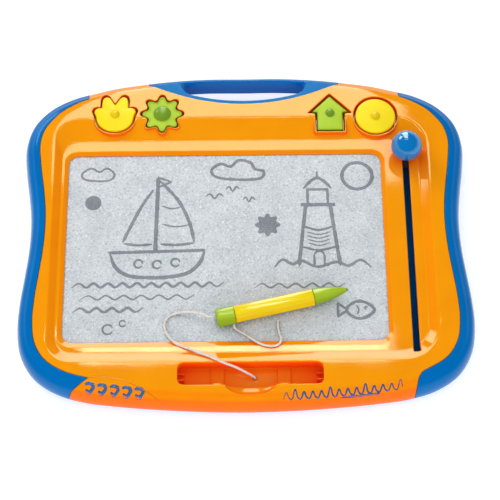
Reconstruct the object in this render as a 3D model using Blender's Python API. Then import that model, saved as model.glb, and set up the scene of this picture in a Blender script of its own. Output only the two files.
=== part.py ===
"""Magnetic drawing board with a tethered pen, four shape stamps and a slide eraser.

Metres, +Z up, origin under the middle of the board on the surface it stands on.
X runs to the board's right, Y away from the child who draws on it.
"""
import math

import bmesh
import bpy
from mathutils import Matrix, Vector

MM = 0.001

# Fits
GAP = 0.3 * MM
RUNNING_GAP = 0.6 * MM
OVERRUN = 6 * MM

# Window and the bands of the orange cover around it, from the window outwards
WINDOW_WIDTH = 311.5 * MM
WINDOW_DEPTH = 202.5 * MM
WINDOW_CORNER = 10 * MM
WINDOW_BEVEL = 3 * MM
LIP_LEFT = 3.5 * MM
LIP_TOP = 13 * MM
LIP_BOTTOM = 10.5 * MM
LIP_LEFT_CORNER = 18 * MM
LIP_RIGHT_CORNER = 28 * MM
SLOPE_LEFT = 7.5 * MM
SLOPE_RIGHT = 9 * MM
SLOPE_TOP = 23.5 * MM
SLOPE_BOTTOM = 9 * MM
SLOPE_CORNER = 6 * MM
SHOULDER_LEFT = 1.5 * MM
SHOULDER_RIGHT = 8 * MM
SHOULDER_TOP = 34 * MM
SHOULDER_BOTTOM = 21.5 * MM
EDGE_WIDTH = 21 * MM

# Heights of the body
BODY_HEIGHT = 35 * MM
LIP_DROP = 5 * MM
LIP_THICKNESS = 3 * MM
BEVEL_DROP = 2.4 * MM
WALL = 2.2 * MM
PARTING_HEIGHT = 5 * MM

# Right half of the outline, from the far edge round to the near one
OUTLINE_SHARES = (
    (0.000, 0.989), (0.180, 0.989), (0.360, 0.974), (0.565, 0.940), (0.676, 0.907),
    (0.794, 0.863), (0.897, 0.789), (0.971, 0.680), (1.000, 0.544), (0.991, 0.393),
    (0.974, 0.252), (0.962, 0.124), (0.960, 0.000), (0.966, -0.124), (0.978, -0.254),
    (0.991, -0.394), (0.995, -0.541), (0.975, -0.687), (0.913, -0.810), (0.812, -0.893),
    (0.692, -0.938), (0.571, -0.959), (0.420, -0.977), (0.220, -0.993), (0.000, -1.000),
)
WAIST_SHARE = 0.960
CORNER_KNOTS = (0, 4, 8, 16, 20, 24)
BLOCK_STEPS = (8, 7, 10, 7, 7)

# Section of the rounded edge: share of the edge width inwards, share of the height
EDGE_SHARES = (
    (0.286, 0.000), (0.071, 0.160), (0.000, 0.343), (0.040, 0.571),
    (0.170, 0.785), (0.380, 0.885), (0.595, 0.970), (1.000, 1.000),
)
INNER_EDGE_SHARES = (
    (0.143, 0.000), (0.030, 0.343), (0.170, 0.785), (0.380, 0.885), (0.595, 0.970), (1.000, 1.000),
)

# Blue side bumpers, measured along each half of the outline from far to near
BUMPER_WIDTH = 16.5 * MM
BUMPER_TIP_SHARE = 0.68
BUMPER_START_SHARE = 0.177
BUMPER_FULL_SHARE = 0.270
LEFT_INNER_END_SHARE = 0.836
LEFT_OUTER_END_SHARE = 0.804
RIGHT_INNER_END_SHARE = 0.812
RIGHT_OUTER_END_SHARE = 0.829
LEFT_END_ROUNDING = 2 * MM
RIGHT_END_ROUNDING = 9 * MM

# Carrying handle at the far edge
SEAM_ARC_RADIUS = 200 * MM
SEAM_ARC_DEPTH = 38.9 * MM
SEAM_ARC_HALF_SPAN = 96 * MM
SEAM_END_SPREAD = 5 * MM
HANDLE_STRIP = 6.1 * MM
HANDLE_BAR = 8.4 * MM
HANDLE_DROP = 3.5 * MM
HANDLE_LIFT = 8 * MM
LIFT_END_SLANT = 6 * MM
GRIP_NEAR_HALF_SPAN = 58.5 * MM
GRIP_END_SLANT = 7 * MM
GRIP_ROUNDING = 6 * MM

# Pen tray
TRAY_LENGTH = 137 * MM
TRAY_WIDTH = 22 * MM
TRAY_DEPTH = 15 * MM
TRAY_SHELF = 1.5 * MM
TRAY_CORNER = 7 * MM
TRAY_X = 3.5 * MM
SADDLE_HEIGHT = 1.2 * MM
SADDLE_WIDTH = 12 * MM
SADDLE_SHARES = (-0.226, 0.232)
TRAY_TAB_WIDTH = 6.5 * MM
TRAY_TAB_REACH = 1.2 * MM
TRAY_TAB_HEIGHT = 2 * MM
END_RIB_LENGTH = 6 * MM
END_RIB_WIDTH = 1.2 * MM
END_RIB_HEIGHT = 6 * MM
END_RIB_SHARES = (-0.14, 0.14)
NOTCH_LENGTH = 48 * MM
NOTCH_REACH = 10 * MM
NOTCH_DEPTH = 10 * MM
CORD_HOLE_X = 8 * MM

# Display panel, from the front film down to the retainer
PANEL_MARGIN = 5 * MM
PANEL_CORNER = 4 * MM
FILM = 0.5 * MM
CORE = 1.3 * MM
RETAINER = 1.2 * MM
RETAINER_MARGIN = 5 * MM
RETAINER_OVERLAP = 3 * MM
POCKET_RIB = 1.6 * MM
EAR_REACH = 6.5 * MM
EAR_HALF_WIDTH = 4 * MM
FAR_EAR_SHARES = (-0.91, -0.13, 0.38)
NEAR_EAR_SHARES = (-0.80, 0.13, 0.85)

# Slide eraser
SLOT_WIDTH = 6.5 * MM
SLOT_TO_WINDOW = 25 * MM
SLOT_TO_SLOPE = 13 * MM
SLOT_NEAR_DROP = 13.5 * MM
SLOT_ROUNDING_SHARE = 0.6
STEM_WIDTH = 5.2 * MM
STEM_LENGTH = 8 * MM
STEM_IN_KNOB = 11 * MM
KNOB_DIAMETER = 30.5 * MM
KNOB_TO_WINDOW_EDGE = 2.3 * MM
KNOB_FOOT_DIAMETER = 14 * MM
KNOB_CLEARANCE = 2.2 * MM
BAR_WIDTH = 10 * MM
BAR_HEIGHT = 7 * MM
BAR_LEAD = 10 * MM
BAR_OVERHANG = 12.5 * MM
MAGNET_WIDTH = 6 * MM
MAGNET_HEIGHT = 3 * MM
MAGNET_STANDS_PROUD = 1 * MM
CARRIAGE_WIDTH = 16 * MM
CARRIAGE_LENGTH = 26 * MM
GLIDE_LENGTH = 10 * MM
GLIDE_WIDTH = 9 * MM
GLIDE_HEIGHT = 1 * MM
RAIL = 2.4 * MM
GUARD = 2 * MM

# Screws: head radius, head height, shank radius
CASE_SCREW = (2.8 * MM, 2 * MM, 1.5 * MM)
SMALL_SCREW = (2.3 * MM, 1.5 * MM, 1 * MM)
SCREW_CLEARANCE = 0.4 * MM
TOWER_RADIUS = 4.8 * MM
TOWER_HEIGHT = 14 * MM
TOWER_SHOULDER = 5 * MM
BOSS_RADIUS = 4 * MM
BOSS_GRIP = 10 * MM
SMALL_BOSS_RADIUS = 3 * MM
SMALL_GRIP = 3 * MM
FAR_SCREW_SHARES = (-0.824, -0.136, 0.136, 0.850)
FAR_SCREW_BACK_SHARES = (0.62, 0.652, 0.652, 0.62)
NEAR_SCREW_SHARES = (-0.747, -0.430, 0.475, 0.679)
NEAR_SCREW_BACK_SHARES = (-0.773, -0.84, -0.84, -0.79)

# Stamps
STAMP_RADIUS = 20.3 * MM
STAMP_Y = 26.4 * MM
PAW_SHIFT = 4.6 * MM
STAR_SHIFT = 4.6 * MM
HOUSE_SHIFT = 3.7 * MM
STAMP_SPACING = 7.2 * MM
PAW_X = -130.6 * MM
CIRCLE_X = 132.8 * MM
HOUSE_HALF_WIDTH = 18.4 * MM
POCKET_CLEARANCE = 2 * MM
POCKET_WALL = 1.2 * MM
POCKET_DEPTH = 9.5 * MM
POCKET_RIM_DROP = 0.4 * MM
STAMP_MAGNET = 1.5 * MM
STAMP_SINK = 0.5 * MM
STAMP_EDGE = 2 * MM
STAMP_EDGE_DROP = 1.2 * MM
STAMP_SHEET_INSET = 1 * MM
NUB_RADIUS = 4.5 * MM
NUB_HEIGHT = 3 * MM
STAR_DOME_RADIUS = 8.5 * MM
STAR_DOME_HEIGHT = 4 * MM
STAR_LOBES = 8
STAR_STEPS = 8
STAR_WAVE_SHARE = 0.13
STAR_ROUNDNESS_SHARE = 1.2
PAW_SHARES = (
    (0.00, 0.56), (0.12, 0.72), (0.26, 0.94), (0.43, 1.02), (0.60, 0.92), (0.66, 0.66),
    (0.67, 0.38), (0.82, 0.38), (0.98, 0.30), (1.04, 0.14), (0.95, -0.10), (0.91, -0.34),
    (0.81, -0.58), (0.62, -0.79), (0.34, -0.95), (0.00, -1.00),
)
HOUSE_SHARES = (
    (0.00, 1.00), (-1.00, 0.08), (-0.70, 0.08), (-0.70, -0.96), (0.70, -0.96), (0.70, 0.08), (1.00, 0.08),
)

# Pen lying on the screen
PEN_ANGLE = math.radians(12.95)
PEN_END_X = -28.4 * MM
PEN_END_Y = -95.5 * MM
PEN_CAP_LENGTH = 17.5 * MM
PEN_CAP_SOLID = 8.5 * MM
PEN_BARREL_LENGTH = 77 * MM
PEN_TIP_LENGTH = 33 * MM
PEN_BARREL_WIDTH = 16 * MM
PEN_CAP_WIDTH = 17.2 * MM
PEN_CORNER_ROUNDING_SHARE = 0.22
PEN_BORE_RADIUS = 5.6 * MM
PEN_PLUG_LENGTH = 9 * MM
PEN_PLUG_WALL = 1.6 * MM
PEN_END_ROUNDING = 2 * MM
NIB_RADIUS = 1.3 * MM
NIB_LENGTH = 3 * MM
NIB_STANDS_PROUD = 1 * MM
TIP_SHARES = ((0.00, 1.00), (0.25, 0.93), (0.50, 0.78), (0.75, 0.55), (0.92, 0.32), (1.00, 0.20))

# Cord
CORD_DIAMETER = 2.3 * MM
CORD_HOLE_CLEARANCE = 0.8 * MM
KNOT_DIAMETER = 5.5 * MM
CORD_STEP = 2.5
TETHER_ROUTE = (
    (8.0, -151.0, 17.9), (8.0, -151.0, 21.0), (5.4, -150.1, 25.0), (-1.5, -147.4, 28.8),
    (-11.0, -144.3, 33.8), (-20.3, -141.6, 36.9), (-29.5, -137.2, 36.8), (-39.1, -131.6, 34.0),
    (-53.3, -125.2, 31.8), (-63.5, -120.8, 31.7), (-70.4, -114.9, 30.0), (-75.8, -107.0, 28.4),
    (-78.0, -99.0, 28.2), (-75.3, -91.2, 28.2), (-68.0, -87.0, 28.5), (-58.5, -86.0, 29.9),
    (-49.5, -87.2, 32.1), (-41.5, -90.2, 34.2), (-36.2, -93.3, 35.3), (-31.8, -93.9, 35.6),
    (-29.25, -93.3, 35.6),
)
TAIL_ROUTE = (
    (-11.57, -99.6, 31.1), (-10.9, -102.5, 29.6), (-7.5, -105.2, 28.5), (-0.5, -109.4, 28.3),
    (3.6, -113.0, 29.4), (8.6, -117.3, 31.3), (16.0, -121.4, 31.7), (24.5, -122.8, 31.7),
    (30.6, -121.0, 31.7), (33.0, -115.4, 30.8), (31.6, -109.0, 28.7), (30.2, -101.5, 28.2),
    (30.4, -95.0, 28.2),
)

ROUND_SIDES = 20
SCREW_SIDES = 10
STAMP_SIDES = 32
PEN_SIDES = 18
DOME_SIDES = 16
DOME_STEPS = 6
KNOB_STEPS = 8
SEAM_STEPS = 20
GRIP_STEPS = 11
NOTCH_RINGS = 12
KNOT_SIDES = 12
KNOT_RINGS = 8
MITRE_LIMIT_SHARE = 0.4


# Places worked out from the sizes above
lip_right = SLOT_TO_WINDOW + SLOT_TO_SLOPE - WINDOW_BEVEL
left_bands = WINDOW_BEVEL + LIP_LEFT + SLOPE_LEFT + SHOULDER_LEFT + EDGE_WIDTH
right_bands = WINDOW_BEVEL + lip_right + SLOPE_RIGHT + SHOULDER_RIGHT + EDGE_WIDTH
far_bands = WINDOW_BEVEL + LIP_TOP + SLOPE_TOP + SHOULDER_TOP + EDGE_WIDTH
near_bands = WINDOW_BEVEL + LIP_BOTTOM + SLOPE_BOTTOM + SHOULDER_BOTTOM + EDGE_WIDTH
waist_half_width = (left_bands + WINDOW_WIDTH + right_bands) / 2
half_width = waist_half_width / WAIST_SHARE
half_depth = (near_bands + WINDOW_DEPTH + far_bands) / 2

window_left = left_bands - waist_half_width
window_right = window_left + WINDOW_WIDTH
window_near = near_bands - half_depth
window_far = window_near + WINDOW_DEPTH

lip_left_edge = window_left - WINDOW_BEVEL - LIP_LEFT
lip_right_edge = window_right + WINDOW_BEVEL + lip_right
lip_near_edge = window_near - WINDOW_BEVEL - LIP_BOTTOM
lip_far_edge = window_far + WINDOW_BEVEL + LIP_TOP
plateau_near_edge = lip_near_edge - SLOPE_BOTTOM

lip_height = BODY_HEIGHT - LIP_DROP
lip_underside = lip_height - LIP_THICKNESS
film_top = lip_underside - GAP
core_top = film_top - FILM - GAP
back_film_top = core_top - CORE - GAP
retainer_top = back_film_top - FILM - GAP
magnet_top = retainer_top - RETAINER - GAP
bar_top = magnet_top - MAGNET_STANDS_PROUD
bar_bottom = bar_top - BAR_HEIGHT
rail_height = bar_bottom - GAP - GLIDE_HEIGHT - GAP

slot_x = window_right + SLOT_TO_WINDOW
slot_near = window_near - SLOT_NEAR_DROP
knob_y = window_far - KNOB_TO_WINDOW_EDGE
slot_far = knob_y + STEM_LENGTH / 2 + RUNNING_GAP
eraser_travel = slot_far - slot_near - STEM_LENGTH - 2 * RUNNING_GAP
bar_y = knob_y + BAR_LEAD
bar_left = window_left - BAR_OVERHANG
bar_right = slot_x + CARRIAGE_WIDTH / 2

seam_arc_y = half_depth - SEAM_ARC_DEPTH + SEAM_ARC_RADIUS
tray_far = plateau_near_edge - TRAY_SHELF
tray_y = tray_far - TRAY_WIDTH / 2
tray_floor = BODY_HEIGHT - TRAY_DEPTH
pocket_floor = BODY_HEIGHT - POCKET_DEPTH
stamp_y = lip_far_edge + STAMP_Y - WALL
pen_z = film_top + GAP + PEN_CAP_WIDTH / 2


def clear_scene():
    for item in list(bpy.data.objects):
        bpy.data.objects.remove(item)


def paint(name, colour, roughness, metallic=0.0):
    """A Principled material, made once for each name."""
    material = bpy.data.materials.get(name)
    if material is None:
        material = bpy.data.materials.new(name)
        material.use_nodes = True
        shader = material.node_tree.nodes["Principled BSDF"]
        shader.inputs["Base Color"].default_value = (*colour, 1.0)
        shader.inputs["Roughness"].default_value = roughness
        shader.inputs["Metallic"].default_value = metallic
    return material


def catmull_rom(before, start, end, after, t):
    """Point at t between start and end on a smooth curve through all four."""
    return 0.5 * (
        2 * start + (end - before) * t
        + (2 * before - 5 * start + 4 * end - after) * t * t
        + (3 * start - before - 3 * end + after) * t * t * t
    )


def outline_share(place):
    """Share point on the right half, place 0 at the far middle and 1 at the near middle."""
    if place < 0 or place > 1:
        point = outline_share(-place if place < 0 else 2 - place)
        return Vector((-point.x, point.y))
    last = len(OUTLINE_SHARES) - 1
    knot = min(int(place * last), last - 1)

    def share(index):
        mirrored = index < 0 or index > last
        x, y = OUTLINE_SHARES[abs(index) if index <= last else 2 * last - index]
        return Vector((-x if mirrored else x, y))

    return catmull_rom(*(share(knot + k) for k in (-1, 0, 1, 2)), place * last - knot)


def outline_point(place, side, inset):
    """Point of the outline moved inwards, on the right (side 1) or the left (side -1)."""
    step = 1 / (4 * len(OUTLINE_SHARES))
    scale = Vector((half_width, half_depth))
    point = outline_share(place) * scale
    along = (outline_share(place + step) - outline_share(place - step)) * scale
    along.normalize()
    point -= Vector((-along.y, along.x)) * inset
    return Vector((point.x * side, point.y))


def ring_places():
    """Places along half the outline, with more of them round the corners."""
    last = len(OUTLINE_SHARES) - 1
    places = [0.0]
    for start, end, steps in zip(CORNER_KNOTS, CORNER_KNOTS[1:], BLOCK_STEPS):
        places += [(start + (end - start) * (k + 1) / steps) / last for k in range(steps)]
    return places


def outline_ring(inset):
    """The whole outline moved inwards, counter-clockwise from the far middle."""
    places = ring_places()
    left = [outline_point(place, -1, inset) for place in places]
    right = [outline_point(place, 1, inset) for place in reversed(places[1:-1])]
    return left + right


def half_rounded(middle, edge, near, far, far_radius, near_radius):
    """Half of a rounded rectangle, from its far middle to its near middle, in the outline's steps."""
    side = 1 if edge > middle else -1
    far_steps, corner_steps, side_steps, _, near_steps = BLOCK_STEPS
    points = []
    for k in range(far_steps):
        points.append(Vector((middle + (edge - side * far_radius - middle) * k / far_steps, far)))
    for k in range(corner_steps):
        turn = math.pi / 2 * k / corner_steps
        x = edge - side * far_radius * (1 - math.sin(turn))
        points.append(Vector((x, far - far_radius * (1 - math.cos(turn)))))
    for k in range(side_steps):
        start, end = far - far_radius, near + near_radius
        points.append(Vector((edge, start + (end - start) * k / side_steps)))
    for k in range(corner_steps):
        turn = math.pi / 2 * k / corner_steps
        x = edge - side * near_radius * (1 - math.cos(turn))
        points.append(Vector((x, near + near_radius * (1 - math.sin(turn)))))
    for k in range(near_steps + 1):
        start = edge - side * near_radius
        points.append(Vector((start + (middle - start) * k / near_steps, near)))
    return points


def rounded_ring(left, right, near, far, left_radius, right_radius):
    """A rounded rectangle with as many points as the outline, counter-clockwise."""
    middle = (left + right) / 2
    left_half = half_rounded(middle, left, near, far, left_radius, left_radius)
    right_half = half_rounded(middle, right, near, far, right_radius, right_radius)
    return left_half + right_half[-2:0:-1]


def plateau_ring():
    return rounded_ring(
        lip_left_edge - SLOPE_LEFT, lip_right_edge + SLOPE_RIGHT,
        plateau_near_edge, lip_far_edge + SLOPE_TOP,
        LIP_LEFT_CORNER + SLOPE_CORNER, LIP_RIGHT_CORNER + SLOPE_CORNER,
    )


def lip_ring():
    return rounded_ring(
        lip_left_edge, lip_right_edge, lip_near_edge, lip_far_edge, LIP_LEFT_CORNER, LIP_RIGHT_CORNER,
    )


def window_ring(margin):
    return rounded_ring(
        window_left - margin, window_right + margin, window_near - margin, window_far + margin,
        WINDOW_CORNER + margin, WINDOW_CORNER + margin,
    )


def offset_points(points, distance, closed):
    """Points moved to the left of their own direction by a distance, with mitred corners."""
    count = len(points)
    moved = []
    for i, point in enumerate(points):
        before = points[i - 1] if closed or i > 0 else None
        after = points[(i + 1) % count] if closed or i < count - 1 else None
        sides = []
        if before is not None:
            sides.append((point - before).normalized())
        if after is not None:
            sides.append((after - point).normalized())
        normals = [Vector((-side.y, side.x)) for side in sides]
        mitre = sum(normals, Vector((0.0, 0.0))).normalized()
        moved.append(point + mitre * distance / max(mitre.dot(normals[0]), MITRE_LIMIT_SHARE))
    return moved


def rounded_corner(before, corner, after, size, steps=4):
    """Points that round off one corner."""
    start = corner + (before - corner).normalized() * size
    end = corner + (after - corner).normalized() * size
    points = []
    for k in range(steps + 1):
        t = k / steps
        points.append(start * (1 - t) ** 2 + corner * 2 * t * (1 - t) + end * t * t)
    return points


def arc_points(centre_y, radius, half_span, steps):
    """Points of the arc around the handle, from right to left."""
    limit = math.asin(min(half_span / radius, 1))
    turns = [limit - 2 * limit * k / steps for k in range(steps + 1)]
    return [Vector((radius * math.sin(turn), centre_y - radius * math.cos(turn))) for turn in turns]


def seam_half(side, inner_end, outer_end, rounding):
    """Edge of the orange cover on one side, from the handle to the near middle."""
    handle_end = outline_place_at(SEAM_ARC_HALF_SPAN + SEAM_END_SPREAD)
    knots = ring_places()
    places = [(start + end) / 2 for start, end in zip(knots, knots[1:])]
    outside = [place for place in places if handle_end < place < BUMPER_START_SHARE]
    points = [outline_point(place, side, -OVERRUN) for place in [handle_end, *outside, BUMPER_START_SHARE]]
    inner = []
    for place in [BUMPER_START_SHARE, *places, inner_end]:
        if BUMPER_START_SHARE <= place <= inner_end:
            ramp = min((place - BUMPER_START_SHARE) / (BUMPER_FULL_SHARE - BUMPER_START_SHARE), 1)
            width = BUMPER_WIDTH * (BUMPER_TIP_SHARE + (1 - BUMPER_TIP_SHARE) * ramp)
            inner.append(outline_point(place, side, width))
    outer = outline_point(outer_end, side, -OVERRUN)
    corner = rounded_corner(inner[-2], inner[-1], outer, rounding)
    points += inner[:-1] if (inner[-2] - inner[-1]).length > rounding else inner[:-2]
    points += corner
    points.append(outer)
    points += [outline_point(place, side, -OVERRUN) for place in places if place > outer_end]
    return points


def outline_place_at(x):
    """Place on the far edge where the outline reaches a distance from the middle."""
    low, high = 0.0, CORNER_KNOTS[2] / CORNER_KNOTS[-1]
    for _ in range(40):
        place = (low + high) / 2
        if outline_point(place, 1, 0).x < x:
            low = place
        else:
            high = place
    return low


def seam_outline():
    """Plan of the orange cover: open to the outside where it reaches the board's edge."""
    left = seam_half(-1, LEFT_INNER_END_SHARE, LEFT_OUTER_END_SHARE, LEFT_END_ROUNDING)
    right = seam_half(1, RIGHT_INNER_END_SHARE, RIGHT_OUTER_END_SHARE, RIGHT_END_ROUNDING)
    arc = arc_points(seam_arc_y, SEAM_ARC_RADIUS, SEAM_ARC_HALF_SPAN, SEAM_STEPS)
    return arc + left + right[::-1]


def handle_only_outline():
    """Plan of all that lies on the near side of the handle's seam."""
    arc = arc_points(seam_arc_y, SEAM_ARC_RADIUS - GAP, SEAM_ARC_HALF_SPAN, SEAM_STEPS)
    reach_x = half_width + OVERRUN
    reach_y = half_depth + OVERRUN
    end_x = SEAM_ARC_HALF_SPAN + SEAM_END_SPREAD
    corners = [(-end_x, reach_y), (-reach_x, reach_y), (-reach_x, -reach_y), (reach_x, -reach_y),
               (reach_x, reach_y), (end_x, reach_y)]
    return arc + [Vector(corner) for corner in corners]


def grip_outline():
    """Plan of the finger gap of the handle."""
    near = arc_points(seam_arc_y, SEAM_ARC_RADIUS - HANDLE_STRIP, GRIP_NEAR_HALF_SPAN, GRIP_STEPS)
    far_end = outline_place_at(GRIP_NEAR_HALF_SPAN + GRIP_END_SLANT)
    far_places = [far_end * (2 * k / GRIP_STEPS - 1) for k in range(GRIP_STEPS + 1)]
    far = [outline_point(abs(place), -1 if place < 0 else 1, HANDLE_BAR) for place in far_places]
    points = near[1:-1]
    points += rounded_corner(near[-2], near[-1], far[0], GRIP_ROUNDING)
    points += rounded_corner(near[-1], far[0], far[1], GRIP_ROUNDING)
    points += far[1:-1]
    points += rounded_corner(far[-2], far[-1], near[0], GRIP_ROUNDING)
    points += rounded_corner(far[-1], near[0], near[1], GRIP_ROUNDING)
    following = points[1:] + points[:1]
    spaced = [point for point, after in zip(points, following) if (after - point).length > GAP]
    return spaced[::-1]


def handle_lift():
    """Cutter that lifts the bar of the handle off the ground, with slanted ends."""
    near = seam_arc_y - SEAM_ARC_RADIUS + HANDLE_STRIP
    near = (near + outline_point(0, 1, HANDLE_BAR).y) / 2
    reach = GRIP_NEAR_HALF_SPAN - GRIP_ROUNDING
    far = half_depth + OVERRUN
    mesh = bmesh.new()
    low = box_outline(-reach, reach, near, far)
    high = box_outline(LIFT_END_SLANT - reach, reach - LIFT_END_SLANT, near, far)
    add_rings(mesh, [flat_ring(low, -OVERRUN), flat_ring(low, 0), flat_ring(high, HANDLE_LIFT)])
    return mesh


def box_outline(left, right, near, far, corner=0.0, steps=4):
    """A rectangle, or one with rounded corners, counter-clockwise."""
    corners = [Vector((left, near)), Vector((right, near)), Vector((right, far)), Vector((left, far))]
    if corner <= 0:
        return corners
    points = []
    for i, here in enumerate(corners):
        points += rounded_corner(corners[i - 1], here, corners[(i + 1) % 4], corner, steps)
    return points


def circle_outline(x, y, radius, sides=ROUND_SIDES):
    turns = [2 * math.pi * k / sides for k in range(sides)]
    return [Vector((x + radius * math.cos(turn), y + radius * math.sin(turn))) for turn in turns]


def add_rings(mesh, rings):
    """A closed skin through rings of points, capped at both ends."""
    rows = [[mesh.verts.new(point) for point in ring] for ring in rings]
    mesh.faces.new(list(reversed(rows[0])))
    mesh.faces.new(rows[-1])
    for low, high in zip(rows, rows[1:]):
        for i in range(len(low)):
            mesh.faces.new((low[i - 1], low[i], high[i], high[i - 1]))


def flat_ring(points, height):
    return [Vector((point.x, point.y, height)) for point in points]


def add_prism(mesh, points, low, high):
    add_rings(mesh, [flat_ring(points, low), flat_ring(points, high)])


def add_turned(mesh, x, y, profile, sides=ROUND_SIDES):
    """A turned solid on an upright axis, from (radius, height) pairs, bottom first."""
    add_rings(mesh, [flat_ring(circle_outline(x, y, radius, sides), height) for radius, height in profile])


def add_frame(mesh, outer, inner, low, high):
    """A flat frame between two outlines with as many points."""
    loops = [flat_ring(outer, low), flat_ring(outer, high), flat_ring(inner, high), flat_ring(inner, low)]
    rows = [[mesh.verts.new(point) for point in loop] for loop in loops]
    for low_row, high_row in zip(rows, rows[1:] + rows[:1]):
        for i in range(len(low_row)):
            mesh.faces.new((low_row[i - 1], low_row[i], high_row[i], high_row[i - 1]))


def build_object(name, mesh, material=None, parent=None, sharp=30):
    """An object from a bmesh, with its faces cut into triangles where they aren't flat."""
    bent = [face for face in mesh.faces if len(face.verts) == 4]
    bmesh.ops.triangulate(mesh, faces=bent)
    data = bpy.data.meshes.new(name)
    mesh.to_mesh(data)
    mesh.free()
    data.shade_smooth()
    data.set_sharp_from_angle(angle=math.radians(sharp))
    item = bpy.data.objects.new(name, data)
    bpy.context.collection.objects.link(item)
    if material is not None:
        data.materials.append(material)
    item.parent = parent
    return item


def prism_object(name, points, low, high, material=None, parent=None):
    mesh = bmesh.new()
    add_prism(mesh, points, low, high)
    return build_object(name, mesh, material, parent)


def combine(target, tool, operation, keep_tool=False):
    """Cut, join or intersect a solid with another one, and put the result in its mesh."""
    modifier = target.modifiers.new(operation, 'BOOLEAN')
    modifier.operation = operation
    modifier.object = tool
    bpy.context.view_layer.update()
    view = bpy.context.evaluated_depsgraph_get()
    result = bpy.data.meshes.new_from_object(target.evaluated_get(view))
    target.modifiers.remove(modifier)
    old = target.data
    target.data = result
    bpy.data.meshes.remove(old)
    if not keep_tool:
        bpy.data.objects.remove(tool)


def combine_each(target, meshes, operation):
    for number, mesh in enumerate(meshes):
        combine(target, build_object(f"tool_{number}", mesh), operation)


def edge_profile(shares):
    return [Vector((inset * EDGE_WIDTH, height * BODY_HEIGHT)) for inset, height in shares]


def make_form():
    """Outer form of the closed board with a deep well under the window."""
    rings = [flat_ring(outline_ring(point.x), point.y) for point in edge_profile(EDGE_SHARES)]
    rings.append(flat_ring(plateau_ring(), BODY_HEIGHT))
    rings.append(flat_ring(lip_ring(), lip_height))
    rings.append(flat_ring(window_ring(WINDOW_BEVEL), lip_height))
    rings.append(flat_ring(window_ring(0), lip_height - BEVEL_DROP))
    rings.append(flat_ring(window_ring(0), lip_underside - LIP_THICKNESS))
    mesh = bmesh.new()
    add_rings(mesh, rings)
    return build_object("form", mesh)


def make_space():
    """Room inside the walls of the board, up to the underside of the lip."""
    inner = offset_points(edge_profile(INNER_EDGE_SHARES), -WALL, closed=False)
    rings = [flat_ring(outline_ring(inner[0].x), WALL)]
    rings += [flat_ring(outline_ring(point.x), point.y) for point in inner[1:]]
    rings.append(flat_ring(plateau_ring(), BODY_HEIGHT - WALL))
    rings.append(flat_ring(lip_ring(), lip_underside))
    mesh = bmesh.new()
    add_rings(mesh, rings)
    return build_object("space", mesh)


def case_screw_places():
    far = zip(FAR_SCREW_SHARES, FAR_SCREW_BACK_SHARES)
    near = zip(NEAR_SCREW_SHARES, NEAR_SCREW_BACK_SHARES)
    return [(x * half_width, y * half_depth) for x, y in [*far, *near]]


def ear_screw_places():
    middle = (window_left + window_right) / 2
    reach = PANEL_MARGIN + RETAINER_MARGIN + EAR_REACH
    half = WINDOW_WIDTH / 2
    far = [(middle + share * half, window_far + reach) for share in FAR_EAR_SHARES]
    near = [(middle + share * half, window_near - reach) for share in NEAR_EAR_SHARES]
    return far + near


def star_outline(radius):
    points = []
    count = STAR_LOBES * STAR_STEPS
    for k in range(count):
        turn = 2 * math.pi * k / count + math.pi / 2
        wave = math.cos(STAR_LOBES * (turn - math.pi / 2))
        wave = math.sin(STAR_ROUNDNESS_SHARE * wave) / math.sin(STAR_ROUNDNESS_SHARE)
        reach = radius * (1 - STAR_WAVE_SHARE + STAR_WAVE_SHARE * wave)
        points.append(Vector((reach * math.cos(turn), reach * math.sin(turn))))
    return points


def smooth_loop(points, steps):
    """A smooth closed curve through the points."""
    count = len(points)
    curve = []
    for i in range(count):
        before, start, end, after = (points[(i + k) % count] for k in (-1, 0, 1, 2))
        curve += [catmull_rom(before, start, end, after, k / steps) for k in range(steps)]
    return curve


def paw_outline(radius):
    left = [Vector((-x, y)) * radius for x, y in PAW_SHARES]
    right = [Vector((x, y)) * radius for x, y in reversed(PAW_SHARES[1:-1])]
    return smooth_loop(left + right, 2)


def stamp_places():
    """Name and middle of each stamp, from left to right."""
    step = 2 * STAMP_RADIUS + STAMP_SPACING
    house_step = STAMP_RADIUS + HOUSE_HALF_WIDTH + STAMP_SPACING
    return {
        "paw": (PAW_X, stamp_y + PAW_SHIFT), "star": (PAW_X + step, stamp_y + STAR_SHIFT),
        "house": (CIRCLE_X - house_step, stamp_y + HOUSE_SHIFT), "circle": (CIRCLE_X, stamp_y),
    }


def stamp_outline(name, margin=0.0, x=0.0, y=0.0):
    """Outline of a stamp, spread by a margin and moved."""
    radius = STAMP_RADIUS + margin
    if name == "paw":
        points = paw_outline(radius)
    elif name == "star":
        points = star_outline(radius)
    elif name == "circle":
        points = circle_outline(0, 0, radius, STAMP_SIDES)
    else:
        house = [Vector((x * HOUSE_HALF_WIDTH, y * STAMP_RADIUS)) for x, y in HOUSE_SHARES]
        points = offset_points(house, -margin, closed=True)
    return [point + Vector((x, y)) for point in points]


def notch_solid(margin):
    """Scoop for a finger in front of the tray."""
    mesh = bmesh.new()
    size = Vector((NOTCH_LENGTH / 2 + margin, NOTCH_REACH + margin, NOTCH_DEPTH + margin))
    place = Matrix.Translation((TRAY_X, tray_y - TRAY_WIDTH / 2, BODY_HEIGHT))
    matrix = place @ Matrix.Diagonal((*size, 1.0))
    bmesh.ops.create_uvsphere(mesh, u_segments=ROUND_SIDES, v_segments=NOTCH_RINGS, radius=1, matrix=matrix)
    return mesh


def tray_outline(margin):
    half = TRAY_LENGTH / 2 + margin
    return box_outline(
        TRAY_X - half, TRAY_X + half, tray_y - TRAY_WIDTH / 2 - margin, tray_far + margin,
        TRAY_CORNER + margin,
    )


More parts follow.
